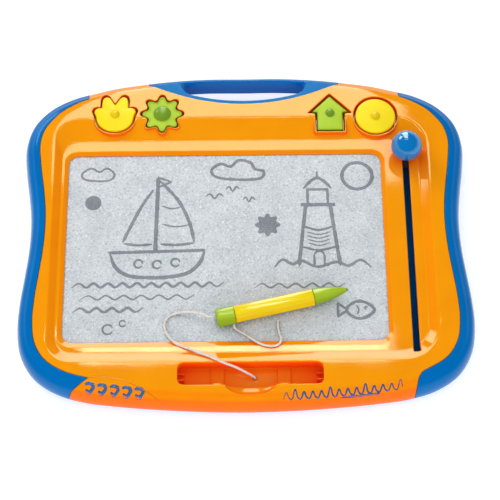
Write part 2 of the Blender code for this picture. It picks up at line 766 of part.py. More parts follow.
def cover_supports():
    """What stands inside the orange cover: tray, finger notch, screw bosses and panel pocket."""
    tray = bmesh.new()
    add_prism(tray, tray_outline(WALL), tray_floor - WALL, BODY_HEIGHT)
    bosses = bmesh.new()
    for x, y in case_screw_places():
        add_prism(bosses, circle_outline(x, y, BOSS_RADIUS, SCREW_SIDES), TOWER_HEIGHT + GAP, BODY_HEIGHT)
    for x, y in ear_screw_places():
        outline = circle_outline(x, y, SMALL_BOSS_RADIUS, SCREW_SIDES)
        add_prism(bosses, outline, retainer_top + GAP, BODY_HEIGHT)
    clear = PANEL_MARGIN + GAP
    inner = box_outline(window_left - clear, window_right + clear, window_near - clear, window_far + clear)
    outer = offset_points(inner, -POCKET_RIB, closed=True)
    pocket = bmesh.new()
    add_frame(pocket, outer, inner, retainer_top + GAP, lip_underside + LIP_THICKNESS / 2)
    return [tray, notch_solid(WALL), bosses, pocket]


def cover_cuts():
    """What is cut from the orange cover: tray, notch, slot, cord hole, pilots and stamp pockets."""
    tray = bmesh.new()
    add_prism(tray, tray_outline(0), tray_floor, BODY_HEIGHT + OVERRUN)
    holes = bmesh.new()
    half_slot = SLOT_WIDTH / 2
    corner = half_slot * SLOT_ROUNDING_SHARE
    slot = box_outline(slot_x - half_slot, slot_x + half_slot, slot_near, slot_far, corner, 2)
    add_prism(holes, slot, lip_underside - OVERRUN, BODY_HEIGHT + OVERRUN)
    cord_radius = CORD_DIAMETER / 2 + CORD_HOLE_CLEARANCE
    add_prism(
        holes, circle_outline(CORD_HOLE_X, tray_y, cord_radius, SCREW_SIDES),
        tray_floor - WALL - OVERRUN, tray_floor + OVERRUN,
    )
    for x, y in case_screw_places():
        outline = circle_outline(x, y, CASE_SCREW[2] + SCREW_CLEARANCE, SCREW_SIDES)
        add_prism(holes, outline, TOWER_HEIGHT - GAP, TOWER_HEIGHT + BOSS_GRIP + 2 * GAP)
    for x, y in ear_screw_places():
        outline = circle_outline(x, y, SMALL_SCREW[2] + SCREW_CLEARANCE, SCREW_SIDES)
        add_prism(holes, outline, retainer_top - GAP, retainer_top + SMALL_GRIP + 2 * GAP)
    pockets = bmesh.new()
    for name, (x, y) in stamp_places().items():
        outline = stamp_outline(name, POCKET_CLEARANCE, x, y)
        add_prism(pockets, outline, pocket_floor, BODY_HEIGHT + OVERRUN)
    return [tray, notch_solid(0), holes, pockets]


def tray_ribs():
    """Low saddles across the tray, a tab over each, and short ribs at its ends."""
    ribs = bmesh.new()
    near = tray_y - TRAY_WIDTH / 2 - GAP
    for share in SADDLE_SHARES:
        x = TRAY_X + share * TRAY_LENGTH
        outline = box_outline(x - SADDLE_WIDTH / 2, x + SADDLE_WIDTH / 2, near, tray_far + GAP)
        add_prism(ribs, outline, tray_floor - GAP, tray_floor + SADDLE_HEIGHT)
        half_tab = TRAY_TAB_WIDTH / 2
        outline = box_outline(x - half_tab, x + half_tab, near, near + GAP + TRAY_TAB_REACH)
        add_prism(ribs, outline, BODY_HEIGHT - GAP - TRAY_TAB_HEIGHT, BODY_HEIGHT - GAP)
    for share in END_RIB_SHARES:
        y = tray_y + share * TRAY_WIDTH
        for side in (-1, 1):
            wall = TRAY_X + side * (TRAY_LENGTH / 2 + GAP)
            left, right = sorted((wall, wall - side * (END_RIB_LENGTH + GAP)))
            outline = box_outline(left, right, y - END_RIB_WIDTH / 2, y + END_RIB_WIDTH / 2)
            add_prism(ribs, outline, tray_floor - GAP, tray_floor + END_RIB_HEIGHT)
    return ribs


def make_front_housing(form, space):
    """Orange cover: everything inside the seam, with its skirt and what is moulded on it."""
    seam = seam_outline()
    half_gap = GAP / 2
    outer = prism_object(
        "outer", offset_points(seam, half_gap, closed=True),
        PARTING_HEIGHT + half_gap, BODY_HEIGHT + OVERRUN,
    )
    inner = prism_object(
        "inner", offset_points(seam, half_gap + WALL, closed=True), -OVERRUN, BODY_HEIGHT + OVERRUN,
    )
    cover = copy_of(form, "front_housing")
    combine(cover, outer, 'INTERSECT')
    hollow = copy_of(space, "hollow")
    combine(hollow, inner, 'INTERSECT')
    combine_each(hollow, cover_supports(), 'DIFFERENCE')
    combine(cover, hollow, 'DIFFERENCE')
    cups = []
    for number, (name, (x, y)) in enumerate(stamp_places().items()):
        cup = bmesh.new()
        outline = stamp_outline(name, POCKET_CLEARANCE + POCKET_WALL, x, y)
        drop = GAP * (number % 2)
        add_prism(cup, outline, pocket_floor - WALL - drop, BODY_HEIGHT - POCKET_RIM_DROP - drop)
        cups.append(cup)
    combine_each(cover, cups, 'UNION')
    combine_each(cover, cover_cuts(), 'DIFFERENCE')
    combine_each(cover, [tray_ribs()], 'UNION')
    dress(cover, paint("orange_plastic", (0.91, 0.27, 0.01), 0.3))


def base_supports():
    """What stands inside the blue base: screw towers, eraser rails and end guards."""
    mesh = bmesh.new()
    for x, y in case_screw_places():
        add_prism(mesh, circle_outline(x, y, TOWER_RADIUS, SCREW_SIDES), 0, TOWER_HEIGHT)
    far = bar_y + BAR_WIDTH / 2
    near = far - eraser_travel - BAR_WIDTH
    for x in (bar_left + GLIDE_LENGTH / 2, slot_x):
        add_prism(mesh, box_outline(x - RAIL / 2, x + RAIL / 2, near, far), 0, rail_height)
    for end, side in ((bar_left, -1), (bar_right, 1)):
        edges = sorted((end + side * RUNNING_GAP, end + side * (RUNNING_GAP + GUARD)))
        add_prism(mesh, box_outline(*edges, near, far), 0, bar_bottom + BAR_HEIGHT / 2)
    return mesh


def base_cuts():
    """Stepped screw holes from below."""
    mesh = bmesh.new()
    head, _, shank = CASE_SCREW
    shoulder = TOWER_HEIGHT - TOWER_SHOULDER
    for x, y in case_screw_places():
        profile = (
            (head + SCREW_CLEARANCE, -OVERRUN), (head + SCREW_CLEARANCE, shoulder),
            (shank + SCREW_CLEARANCE, shoulder), (shank + SCREW_CLEARANCE, TOWER_HEIGHT + OVERRUN),
        )
        add_turned(mesh, x, y, profile, SCREW_SIDES)
    return mesh


def make_back_housing(form, space):
    """Blue base: floor, rim, side bumpers and handle."""
    half_gap = GAP / 2
    above = prism_object(
        "above", offset_points(seam_outline(), -half_gap, closed=True),
        PARTING_HEIGHT - half_gap, BODY_HEIGHT + OVERRUN,
    )
    base = copy_of(form, "back_housing")
    combine(base, above, 'DIFFERENCE')
    hollow = copy_of(space, "hollow")
    kept = prism_object("kept", handle_only_outline(), -OVERRUN, BODY_HEIGHT + OVERRUN)
    combine(hollow, kept, 'INTERSECT')
    combine_each(hollow, [base_supports()], 'DIFFERENCE')
    combine(base, hollow, 'DIFFERENCE')
    reach = SEAM_ARC_HALF_SPAN + 2 * SEAM_END_SPREAD
    far = half_depth + OVERRUN
    near = seam_arc_y - SEAM_ARC_RADIUS - OVERRUN
    top = prism_object(
        "top", box_outline(-reach, reach, near, far), BODY_HEIGHT - HANDLE_DROP, BODY_HEIGHT + OVERRUN,
    )
    combine(base, top, 'DIFFERENCE')
    combine(base, prism_object("grip", grip_outline(), -OVERRUN, BODY_HEIGHT + OVERRUN), 'DIFFERENCE')
    combine_each(base, [handle_lift(), base_cuts()], 'DIFFERENCE')
    dress(base, paint("blue_plastic", (0.0, 0.155, 0.52), 0.32))


def copy_of(item, name):
    twin = bpy.data.objects.new(name, item.data.copy())
    bpy.context.collection.objects.link(twin)
    return twin


def dress(item, material, sharp=30):
    """Join the flat faces of a finished solid, and give it its material and its shading."""
    mesh = bmesh.new()
    mesh.from_mesh(item.data)
    bmesh.ops.dissolve_limit(
        mesh, angle_limit=math.radians(0.05), use_dissolve_boundaries=False,
        verts=mesh.verts, edges=mesh.edges,
    )
    bmesh.ops.triangulate(mesh, faces=mesh.faces)
    mesh.to_mesh(item.data)
    mesh.free()
    item.data.materials.clear()
    item.data.materials.append(material)
    item.data.shade_smooth()
    item.data.set_sharp_from_angle(angle=math.radians(sharp))


def make_housing():
    form = make_form()
    space = make_space()
    make_front_housing(form, space)
    make_back_housing(form, space)
    bpy.data.objects.remove(form)
    bpy.data.objects.remove(space)


def panel_outline(margin, corner):
    return box_outline(
        window_left - margin, window_right + margin, window_near - margin, window_far + margin, corner,
    )


def make_panel():
    """The magnetic screen: two clear films with the powder cells between them."""
    outline = panel_outline(PANEL_MARGIN, PANEL_CORNER)
    film = paint("clear_film", (0.75, 0.80, 0.84), 0.25)
    cells = paint("powder_cells", (0.70, 0.76, 0.80), 0.6)
    prism_object("screen_front_film", outline, film_top - FILM, film_top, film)
    prism_object("screen_powder_cells", outline, core_top - CORE, core_top, cells)
    prism_object("screen_back_film", outline, back_film_top - FILM, back_film_top, film)


def retainer_outline():
    """Outer edge of the retainer with an ear at each of its screws."""
    margin = PANEL_MARGIN + RETAINER_MARGIN
    left, right = window_left - margin, window_right + margin
    near, far = window_near - margin, window_far + margin
    reach = EAR_REACH + EAR_HALF_WIDTH
    screws = ear_screw_places()
    half = len(FAR_EAR_SHARES)
    points = [Vector((left, near))]
    for x, _ in screws[half:]:
        points += [Vector((x - EAR_HALF_WIDTH, near)), Vector((x - EAR_HALF_WIDTH, near - reach))]
        points += [Vector((x + EAR_HALF_WIDTH, near - reach)), Vector((x + EAR_HALF_WIDTH, near))]
    points += [Vector((right, near)), Vector((right, far))]
    for x, _ in reversed(screws[:half]):
        points += [Vector((x + EAR_HALF_WIDTH, far)), Vector((x + EAR_HALF_WIDTH, far + reach))]
        points += [Vector((x - EAR_HALF_WIDTH, far + reach)), Vector((x - EAR_HALF_WIDTH, far))]
    points.append(Vector((left, far)))
    return points


def make_retainer():
    """Frame under the screen, screwed to the cover."""
    grey = paint("grey_plastic", (0.42, 0.44, 0.46), 0.5)
    retainer = prism_object("screen_retainer", retainer_outline(), retainer_top - RETAINER, retainer_top)
    mesh = bmesh.new()
    opening = panel_outline(PANEL_MARGIN - RETAINER_OVERLAP, PANEL_CORNER)
    add_prism(mesh, opening, retainer_top - RETAINER - OVERRUN, retainer_top + OVERRUN)
    for x, y in ear_screw_places():
        outline = circle_outline(x, y, SMALL_SCREW[2] + SCREW_CLEARANCE, SCREW_SIDES)
        add_prism(mesh, outline, retainer_top - RETAINER - OVERRUN, retainer_top + OVERRUN)
    combine_each(retainer, [mesh], 'DIFFERENCE')
    dress(retainer, grey)


def make_screw(name, x, y, size, seat, tip, parent=None):
    """A screw driven upwards: its head hangs just below the seat."""
    head, head_height, shank = size
    profile = ((head, seat - GAP - head_height), (head, seat - GAP), (shank, seat - GAP), (shank, tip))
    mesh = bmesh.new()
    add_turned(mesh, x, y, profile, SCREW_SIDES)
    build_object(name, mesh, paint("zinc_steel", (0.55, 0.56, 0.58), 0.35, 1.0), parent)


def make_screws():
    shoulder = TOWER_HEIGHT - TOWER_SHOULDER
    for number, (x, y) in enumerate(case_screw_places(), 1):
        make_screw(f"case_screw_{number}", x, y, CASE_SCREW, shoulder, TOWER_HEIGHT + BOSS_GRIP)
    seat = retainer_top - RETAINER
    for number, (x, y) in enumerate(ear_screw_places(), 1):
        make_screw(f"retainer_screw_{number}", x, y, SMALL_SCREW, seat, retainer_top + SMALL_GRIP)


def make_eraser():
    """Slide eraser: knob over the slot, and a magnet bar under the screen."""
    handle = bpy.data.objects.new("eraser_slide_axis", None)
    handle.location = (slot_x, knob_y, lip_height)
    bpy.context.collection.objects.link(handle)
    bpy.context.view_layer.update()
    make_knob(handle)
    make_carriage(handle)
    make_bar(handle)


def make_knob(handle):
    """Ball knob, cut flat below so that it passes over the near slope, with a bore for the stem."""
    radius = KNOB_DIAMETER / 2
    centre = KNOB_CLEARANCE + radius
    start = math.asin(KNOB_FOOT_DIAMETER / 2 / radius)
    profile = []
    for k in range(KNOB_STEPS + 1):
        turn = start + (math.pi - start) * k / (KNOB_STEPS + 1 / 4)
        profile.append((radius * math.sin(turn), centre - radius * math.cos(turn)))
    mesh = bmesh.new()
    add_turned(mesh, 0, 0, profile)
    blue = paint("glossy_blue_plastic", (0.01, 0.17, 0.55), 0.15)
    knob = build_object("eraser_knob", mesh, blue, handle)
    corner = math.hypot(STEM_WIDTH / 2, STEM_LENGTH / 2) + GAP
    pilot = SMALL_SCREW[2] + SCREW_CLEARANCE
    bore_top = STEM_IN_KNOB + 2 * GAP
    bore = (
        (corner, -OVERRUN), (corner, bore_top), (pilot, bore_top), (pilot, bore_top + SMALL_GRIP + GAP),
    )
    tool = bmesh.new()
    add_turned(tool, 0, 0, bore, DOME_SIDES)
    cutter = build_object("bore", tool, None, handle)
    bpy.context.view_layer.update()
    combine(knob, cutter, 'DIFFERENCE')
    dress(knob, blue)
    seat = bar_top - lip_height + SMALL_SCREW[1] + 3 * GAP
    make_screw(
        "eraser_knob_screw", 0, 0, SMALL_SCREW, seat,
        bore_top + SMALL_GRIP, handle,
    )


def make_carriage(handle):
    """Block under the slot with the stem that carries the knob."""
    top = -LIP_THICKNESS - GAP
    bottom = bar_top + GAP - lip_height
    far = BAR_LEAD + BAR_WIDTH / 2
    grey = paint("grey_plastic", (0.42, 0.44, 0.46), 0.5)
    half = CARRIAGE_WIDTH / 2
    block = prism_object(
        "eraser_carriage", box_outline(-half, half, far - CARRIAGE_LENGTH, far), bottom, top, None, handle,
    )
    stem = box_outline(-STEM_WIDTH / 2, STEM_WIDTH / 2, -STEM_LENGTH / 2, STEM_LENGTH / 2)
    stem = prism_object("stem", stem, top - GAP, STEM_IN_KNOB, None, handle)
    bpy.context.view_layer.update()
    combine(block, stem, 'UNION')
    head, head_height, shank = SMALL_SCREW
    head += SCREW_CLEARANCE
    shank += SCREW_CLEARANCE
    seat = bottom + head_height + 2 * GAP
    tool = bmesh.new()
    profile = ((head, bottom - OVERRUN), (head, seat), (shank, seat), (shank, STEM_IN_KNOB + OVERRUN))
    add_turned(tool, 0, 0, profile, SCREW_SIDES)
    add_prism(tool, circle_outline(0, BAR_LEAD, shank, SCREW_SIDES), bottom - OVERRUN, top - GAP * 2)
    cutter = build_object("carriage_holes", tool, None, handle)
    bpy.context.view_layer.update()
    combine(block, cutter, 'DIFFERENCE')
    dress(block, grey)


def make_bar(handle):
    """Bar across the board with a magnet strip in its groove and a glide under each end."""
    low, high = bar_bottom - lip_height, bar_top - lip_height
    left, right = bar_left - slot_x, CARRIAGE_WIDTH / 2
    near, far = BAR_LEAD - BAR_WIDTH / 2, BAR_LEAD + BAR_WIDTH / 2
    grey = paint("grey_plastic", (0.42, 0.44, 0.46), 0.5)
    bar = prism_object("eraser_bar", box_outline(left, right, near, far), low, high, None, handle)
    strip_low = magnet_top - MAGNET_HEIGHT - lip_height
    strip_left = window_left - PANEL_MARGIN - slot_x
    strip_right = window_right + PANEL_MARGIN - slot_x
    half = MAGNET_WIDTH / 2
    groove = box_outline(strip_left - GAP, strip_right + GAP, BAR_LEAD - half - GAP, BAR_LEAD + half + GAP)
    tool = bmesh.new()
    add_prism(tool, groove, strip_low - GAP, high + OVERRUN)
    head, head_height, shank = SMALL_SCREW
    head += SCREW_CLEARANCE
    shank += SCREW_CLEARANCE
    seat = low + head_height + 2 * GAP
    profile = ((head, low - OVERRUN), (head, seat), (shank, seat), (shank, high + OVERRUN))
    add_turned(tool, 0, BAR_LEAD, profile, SCREW_SIDES)
    cutter = build_object("bar_cuts", tool, None, handle)
    bpy.context.view_layer.update()
    combine(bar, cutter, 'DIFFERENCE')
    dress(bar, grey)
    strip = box_outline(strip_left, strip_right, BAR_LEAD - half, BAR_LEAD + half)
    ferrite = paint("ferrite", (0.05, 0.05, 0.055), 0.6)
    prism_object("eraser_magnet_strip", strip, strip_low, magnet_top - lip_height, ferrite, handle)
    make_screw("eraser_bar_screw", 0, BAR_LEAD, SMALL_SCREW, seat, high + SMALL_GRIP, handle)
    felt = paint("felt", (0.12, 0.12, 0.13), 0.95)
    for side, x in (("left", left + GLIDE_LENGTH / 2), ("right", 0.0)):
        along, across = GLIDE_LENGTH / 2, GLIDE_WIDTH / 2
        outline = box_outline(x - along, x + along, BAR_LEAD - across, BAR_LEAD + across)
        prism_object(f"eraser_glide_{side}", outline, low - GAP - GLIDE_HEIGHT, low - GAP, felt, handle)


def make_stamps():
    """Four shape stamps, each a plastic body over a magnetic sheet of its shape."""
    yellow = paint("yellow_plastic", (1.0, 0.72, 0.0), 0.3)
    green = paint("green_plastic", (0.33, 0.55, 0.04), 0.3)
    ferrite = paint("ferrite", (0.05, 0.05, 0.055), 0.6)
    colours = {"paw": yellow, "star": green, "house": green, "circle": yellow}
    for name, (x, y) in stamp_places().items():
        axis = bpy.data.objects.new(f"{name}_stamp_axis", None)
        axis.location = (x, y, pocket_floor)
        bpy.context.collection.objects.link(axis)
        bpy.context.view_layer.update()
        outline = stamp_outline(name)
        sheet = stamp_outline(name, -STAMP_SHEET_INSET)
        prism_object(f"{name}_stamp_magnet", sheet, GAP, GAP + STAMP_MAGNET, ferrite, axis)
        low = 2 * GAP + STAMP_MAGNET
        high = POCKET_DEPTH - STAMP_SINK
        top = stamp_outline(name, -STAMP_EDGE)
        rings = [flat_ring(outline, low), flat_ring(outline, high - STAMP_EDGE_DROP), flat_ring(top, high)]
        mesh = bmesh.new()
        add_rings(mesh, rings)
        body = build_object(f"{name}_stamp_body", mesh, colours[name], axis)
        radius = STAR_DOME_RADIUS if name == "star" else NUB_RADIUS
        height = STAR_DOME_HEIGHT if name == "star" else NUB_HEIGHT
        dome = bmesh.new()
        profile = [(radius, high - STAMP_EDGE_DROP)]
        for k in range(DOME_STEPS):
            turn = math.pi / 2 * k / (DOME_STEPS - 1 / 2)
            profile.append((radius * math.cos(turn), high + height * math.sin(turn)))
        add_turned(dome, 0, 0, profile, DOME_SIDES)
        tool = build_object("dome", dome, None, axis)
        bpy.context.view_layer.update()
        combine(body, tool, 'UNION')
        dress(body, colours[name])


def hexagon(width, height):
    """Rounded hexagon at a height, with a flat towards local X."""
    reach = width / 2 / math.cos(math.pi / 6)
    turns = [math.pi / 6 + math.pi / 3 * k for k in range(6)]
    corners = [Vector((reach * math.cos(turn), reach * math.sin(turn))) for turn in turns]
    points = []
    for k, corner in enumerate(corners):
        size = reach * PEN_CORNER_ROUNDING_SHARE
        points += rounded_corner(corners[k - 1], corner, corners[(k + 1) % 6], size, 2)
    return flat_ring(points, height)


def make_pen():
    """Pen on the screen: hollow barrel, end cap, tip cone and magnet nib."""
    axis = bpy.data.objects.new("pen_axis", None)
    turn = Matrix.Rotation(PEN_ANGLE, 4, 'Z') @ Matrix.Rotation(math.pi / 2, 4, 'Y')
    axis.matrix_world = Matrix.Translation((PEN_END_X, PEN_END_Y, pen_z)) @ turn
    bpy.context.collection.objects.link(axis)
    bpy.context.view_layer.update()
    yellow = paint("yellow_plastic", (1.0, 0.72, 0.0), 0.3)
    green = paint("green_plastic", (0.33, 0.55, 0.04), 0.3)
    start = PEN_CAP_LENGTH + GAP
    end = start + PEN_BARREL_LENGTH
    mesh = bmesh.new()
    add_rings(mesh, [hexagon(PEN_BARREL_WIDTH, start), hexagon(PEN_BARREL_WIDTH, end)])
    barrel = build_object("pen_barrel", mesh, yellow, axis)
    tool = bmesh.new()
    add_prism(tool, circle_outline(0, 0, PEN_BORE_RADIUS, PEN_SIDES), start - OVERRUN, end + OVERRUN)
    cut_with(barrel, tool, axis)
    dress(barrel, yellow)

    plug = PEN_BORE_RADIUS - GAP
    mesh = bmesh.new()
    rings = []
    for turn in (0, math.pi / 4, math.pi / 2):
        inset = PEN_END_ROUNDING * (1 - math.sin(turn))
        rings.append(hexagon(PEN_CAP_WIDTH - 2 * inset, PEN_END_ROUNDING * (1 - math.cos(turn))))
    add_rings(mesh, [*rings, hexagon(PEN_CAP_WIDTH, PEN_CAP_LENGTH)])
    cap = build_object("pen_end_cap", mesh, green, axis)
    add_plug(cap, axis, plug, PEN_CAP_LENGTH - GAP, PEN_CAP_LENGTH + PEN_PLUG_LENGTH)
    tool = bmesh.new()
    add_prism(
        tool, circle_outline(0, 0, plug - PEN_PLUG_WALL, PEN_SIDES),
        PEN_CAP_SOLID, PEN_CAP_LENGTH + PEN_PLUG_LENGTH + OVERRUN,
    )
    cut_with(cap, tool, axis)
    dress(cap, green)

    base = end + GAP
    mesh = bmesh.new()
    profile = [
        (PEN_BARREL_WIDTH / 2 * radius, base + PEN_TIP_LENGTH * place) for place, radius in TIP_SHARES
    ]
    add_turned(mesh, 0, 0, profile, PEN_SIDES)
    cone = build_object("pen_tip_cone", mesh, green, axis)
    add_plug(cone, axis, plug, base - PEN_PLUG_LENGTH, base + GAP)
    nib_start = base + PEN_TIP_LENGTH + NIB_STANDS_PROUD - NIB_LENGTH
    tool = bmesh.new()
    hole = circle_outline(0, 0, NIB_RADIUS + GAP, SCREW_SIDES)
    add_prism(tool, hole, nib_start - GAP, base + PEN_TIP_LENGTH + OVERRUN)
    cut_with(cone, tool, axis)
    dress(cone, green)
    mesh = bmesh.new()
    profile = (
        (NIB_RADIUS, nib_start), (NIB_RADIUS, nib_start + NIB_LENGTH - NIB_RADIUS / 2),
        (NIB_RADIUS / 2, nib_start + NIB_LENGTH),
    )
    add_turned(mesh, 0, 0, profile, SCREW_SIDES)
    build_object("pen_magnet_nib", mesh, paint("ferrite", (0.05, 0.05, 0.055), 0.6), axis)


def cut_with(item, mesh, parent):
    tool = build_object("cutter", mesh, None, parent)
    bpy.context.view_layer.update()
    combine(item, tool, 'DIFFERENCE')


def add_plug(item, axis, radius, low, high):
    mesh = bmesh.new()
    add_prism(mesh, circle_outline(0, 0, radius, PEN_SIDES), low, high)
    tool = build_object("plug", mesh, None, axis)
    bpy.context.view_layer.update()
    combine(item, tool, 'UNION')


def smooth_route(route):
    """Points a few diameters apart on a smooth curve through the route."""
    knots = [Vector(point) * MM for point in route]
    knots = [2 * knots[0] - knots[1], *knots, 2 * knots[-1] - knots[-2]]
    fine = []
    for before, start, end, after in zip(knots, knots[1:], knots[2:], knots[3:]):
        fine += [catmull_rom(before, start, end, after, k / 20) for k in range(20)]
    fine.append(knots[-2])
    lengths = [0.0]
    for start, end in zip(fine, fine[1:]):
        lengths.append(lengths[-1] + (end - start).length)
    count = round(lengths[-1] / (CORD_STEP * CORD_DIAMETER))
    points = []
    index = 0
    for k in range(count + 1):
        target = lengths[-1] * k / count
        while index < len(lengths) - 2 and lengths[index + 1] < target:
            index += 1
        share = (target - lengths[index]) / (lengths[index + 1] - lengths[index])
        points.append(fine[index].lerp(fine[index + 1], share))
    return points


def make_cord(name, route):
    curve = bpy.data.curves.new(name, 'CURVE')
    curve.dimensions = '3D'
    curve.bevel_depth = CORD_DIAMETER / 2
    curve.bevel_resolution = 2
    curve.use_fill_caps = True
    points = smooth_route(route)
    spline = curve.splines.new('POLY')
    spline.points.add(len(points) - 1)
    for knot, point in zip(spline.points, points):
        knot.co = (*point, 1.0)
    curve.materials.append(paint("white_cord", (0.85, 0.84, 0.82), 0.9))
    item = bpy.data.objects.new(name, curve)
    bpy.context.collection.objects.link(item)


def make_cords():
    make_cord("tether_cord", TETHER_ROUTE)
    make_cord("pen_cord_tail", TAIL_ROUTE)
    mesh = bmesh.new()
    place = Matrix.Translation((CORD_HOLE_X, tray_y, tray_floor - WALL - GAP - KNOT_DIAMETER / 2))
    bmesh.ops.create_uvsphere(
        mesh, u_segments=KNOT_SIDES, v_segments=KNOT_RINGS, radius=KNOT_DIAMETER / 2, matrix=place,
    )
    build_object("tether_anchor_knot", mesh, paint("white_cord", (0.85, 0.84, 0.82), 0.9))


clear_scene()
make_housing()
make_panel()
make_retainer()
make_screws()
make_eraser()
make_stamps()
make_pen()
make_cords()
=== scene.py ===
import math

import bmesh
import bpy
from mathutils import Matrix, Vector
from mathutils.bvhtree import BVHTree


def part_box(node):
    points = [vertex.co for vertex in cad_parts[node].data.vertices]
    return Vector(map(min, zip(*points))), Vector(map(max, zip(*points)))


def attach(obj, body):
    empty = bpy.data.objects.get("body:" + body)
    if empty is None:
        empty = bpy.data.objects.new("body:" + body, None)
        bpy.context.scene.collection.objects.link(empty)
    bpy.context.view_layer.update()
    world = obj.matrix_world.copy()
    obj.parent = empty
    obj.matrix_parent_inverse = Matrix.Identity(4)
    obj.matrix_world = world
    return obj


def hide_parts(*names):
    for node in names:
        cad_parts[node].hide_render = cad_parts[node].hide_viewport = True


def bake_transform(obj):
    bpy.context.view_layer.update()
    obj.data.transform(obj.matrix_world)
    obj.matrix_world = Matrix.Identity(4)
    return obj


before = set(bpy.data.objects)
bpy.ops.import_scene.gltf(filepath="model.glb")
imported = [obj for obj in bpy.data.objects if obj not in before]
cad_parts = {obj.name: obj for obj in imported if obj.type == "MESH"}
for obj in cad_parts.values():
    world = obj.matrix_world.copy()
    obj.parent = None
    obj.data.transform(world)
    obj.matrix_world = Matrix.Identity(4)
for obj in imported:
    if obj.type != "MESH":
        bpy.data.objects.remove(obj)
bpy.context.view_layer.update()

MM = 0.001


def mm(*values):
    return tuple(value * MM for value in values)


# Camera, worked out from the photograph, and light
CAMERA_ELEVATION = 1.117
CAMERA_TURN = 0.0108
CAMERA_DISTANCE = 1.57151
CAMERA_AIM = (0.0046429, -0.0061636)
CAMERA_LENS = 113.86
SENSOR_WIDTH = 36
PANEL_X = -0.0245
PANEL_WIDTH = 0.785
WHITE = (1.0, 1.0, 1.0)
ROOM_LIGHT = 0.86
CEILING_LIGHT = 0.06
FLOOR_GLOW = 0.45

# Board, in metres, as its solids have it
HALF_WIDTH = 220.8333 * MM
HALF_DEPTH = 181 * MM
BODY_HEIGHT = 35 * MM
LIP_HEIGHT = 30 * MM
LIP_UNDERSIDE = 27 * MM
FILM_TOP = 26.7 * MM
BEVEL_FOOT = 27.6 * MM
WALL = 2.2 * MM
PARTING_HEIGHT = 5 * MM
EDGE_WIDTH = 21 * MM
SEAM_GAP = 0.25 * MM
# How far cutters reach beyond the board, and their ends above and below it
OVERRUN = 6 * MM
ABOVE = BODY_HEIGHT + OVERRUN
BELOW = -OVERRUN
# Left, right, near and far edge of each band round the window
WINDOW = mm(-175.5, 136, -116, 86.5)
BEVEL = mm(-179.5, 140, -121.2, 90.2)
LIP = mm(-182, 174, -127.8, 102.5)
PLATEAU = mm(-189.5, 183, -137.4, 126)
WINDOW_CORNERS = mm(10, 10)
BEVEL_CORNERS = mm(13, 14)
LIP_CORNERS = mm(18, 28)
PLATEAU_CORNERS = mm(24, 34)

OUTLINE_SHARES = (
    (0.000, 0.989), (0.180, 0.989), (0.360, 0.974), (0.565, 0.940), (0.676, 0.907),
    (0.794, 0.863), (0.897, 0.789), (0.971, 0.680), (1.000, 0.544), (0.991, 0.393),
    (0.974, 0.252), (0.962, 0.124), (0.960, 0.000), (0.966, -0.124), (0.978, -0.254),
    (0.991, -0.394), (0.995, -0.541), (0.975, -0.687), (0.913, -0.810), (0.812, -0.893),
    (0.692, -0.938), (0.571, -0.959), (0.420, -0.977), (0.220, -0.993), (0.000, -1.000),
)
CORNER_KNOTS = (0, 4, 8, 16, 20, 24)
BLOCK_STEPS = (28, 24, 34, 24, 26)
EDGE_SHARES = (
    (0.286, 0.000), (0.071, 0.160), (0.000, 0.343), (0.040, 0.571),
    (0.170, 0.785), (0.380, 0.885), (0.595, 0.970), (1.000, 1.000),
)
INNER_EDGE_SHARES = (
    (0.143, 0.000), (0.030, 0.343), (0.170, 0.785), (0.380, 0.885), (0.595, 0.970), (1.000, 1.000),
)
EDGE_STEPS = 4
CORNER_STEPS = 6
# Size and steps of the rounding at the inner edge of each band
PLATEAU_ROUND = (2.2 * MM, 5)
LIP_ROUND = (1.4 * MM, 4)
BEVEL_ROUND = (0.7 * MM, 4)
WELL_DEPTH = 3 * MM
SHARP_ANGLE = 35
HOUSING_SHARP_ANGLE = 20

# Side bumpers and handle
BUMPER_WIDTH = 16.5 * MM
BUMPER_START = 0.177
BUMPER_FULL = 0.270
BUMPER_TIP = 0.68
BUMPER_SLANT = 0.008
# Inner end, outer end and rounding of each bumper's near end
LEFT_BUMPER_END = (0.836, 0.804, 2 * MM)
RIGHT_BUMPER_END = (0.812, 0.829, 9 * MM)
SEAM_ARC_RADIUS = 200 * MM
SEAM_ARC_Y = 342.1 * MM
SEAM_HALF_SPAN = 96 * MM
SEAM_SPREAD = 5 * MM
SEAM_STEPS = 72
HANDLE_NEAR = 137 * MM
HANDLE_TOP = 31.5 * MM
HANDLE_STRIP = 6.1 * MM
HANDLE_BAR = 8.4 * MM
GRIP_SPANS = mm(58.5, 65.5)
GRIP_STEPS = 40
GRIP_CORNER = 6 * MM
GRIP_ROUND = 1.2 * MM
LIFT_SPANS = mm(58.4, 57.4)
LIFT_NEAR = 159.4 * MM
LIFT_HEIGHT = 8 * MM
BASE_STRETCH = 1.012
INNER_NEAR = -119.8 * MM
INNER_FAR = 99.2 * MM
RAIL_PLACES = mm(-183, 161)
RAIL_HALF = 1.2 * MM
RAIL_TOP = 12.4 * MM
GUARD_PLACES = mm(-190.6, 169.6)
GUARD_WIDTH = 2 * MM
GUARD_TOP = 17.5 * MM
# Radius and top of the base's screw towers, radius and foot of the cover's bosses
TOWER = mm(4.8, 14)
CASE_BOSS = mm(4, 14.3)
FRAME_BOSS = mm(3, 23.4)

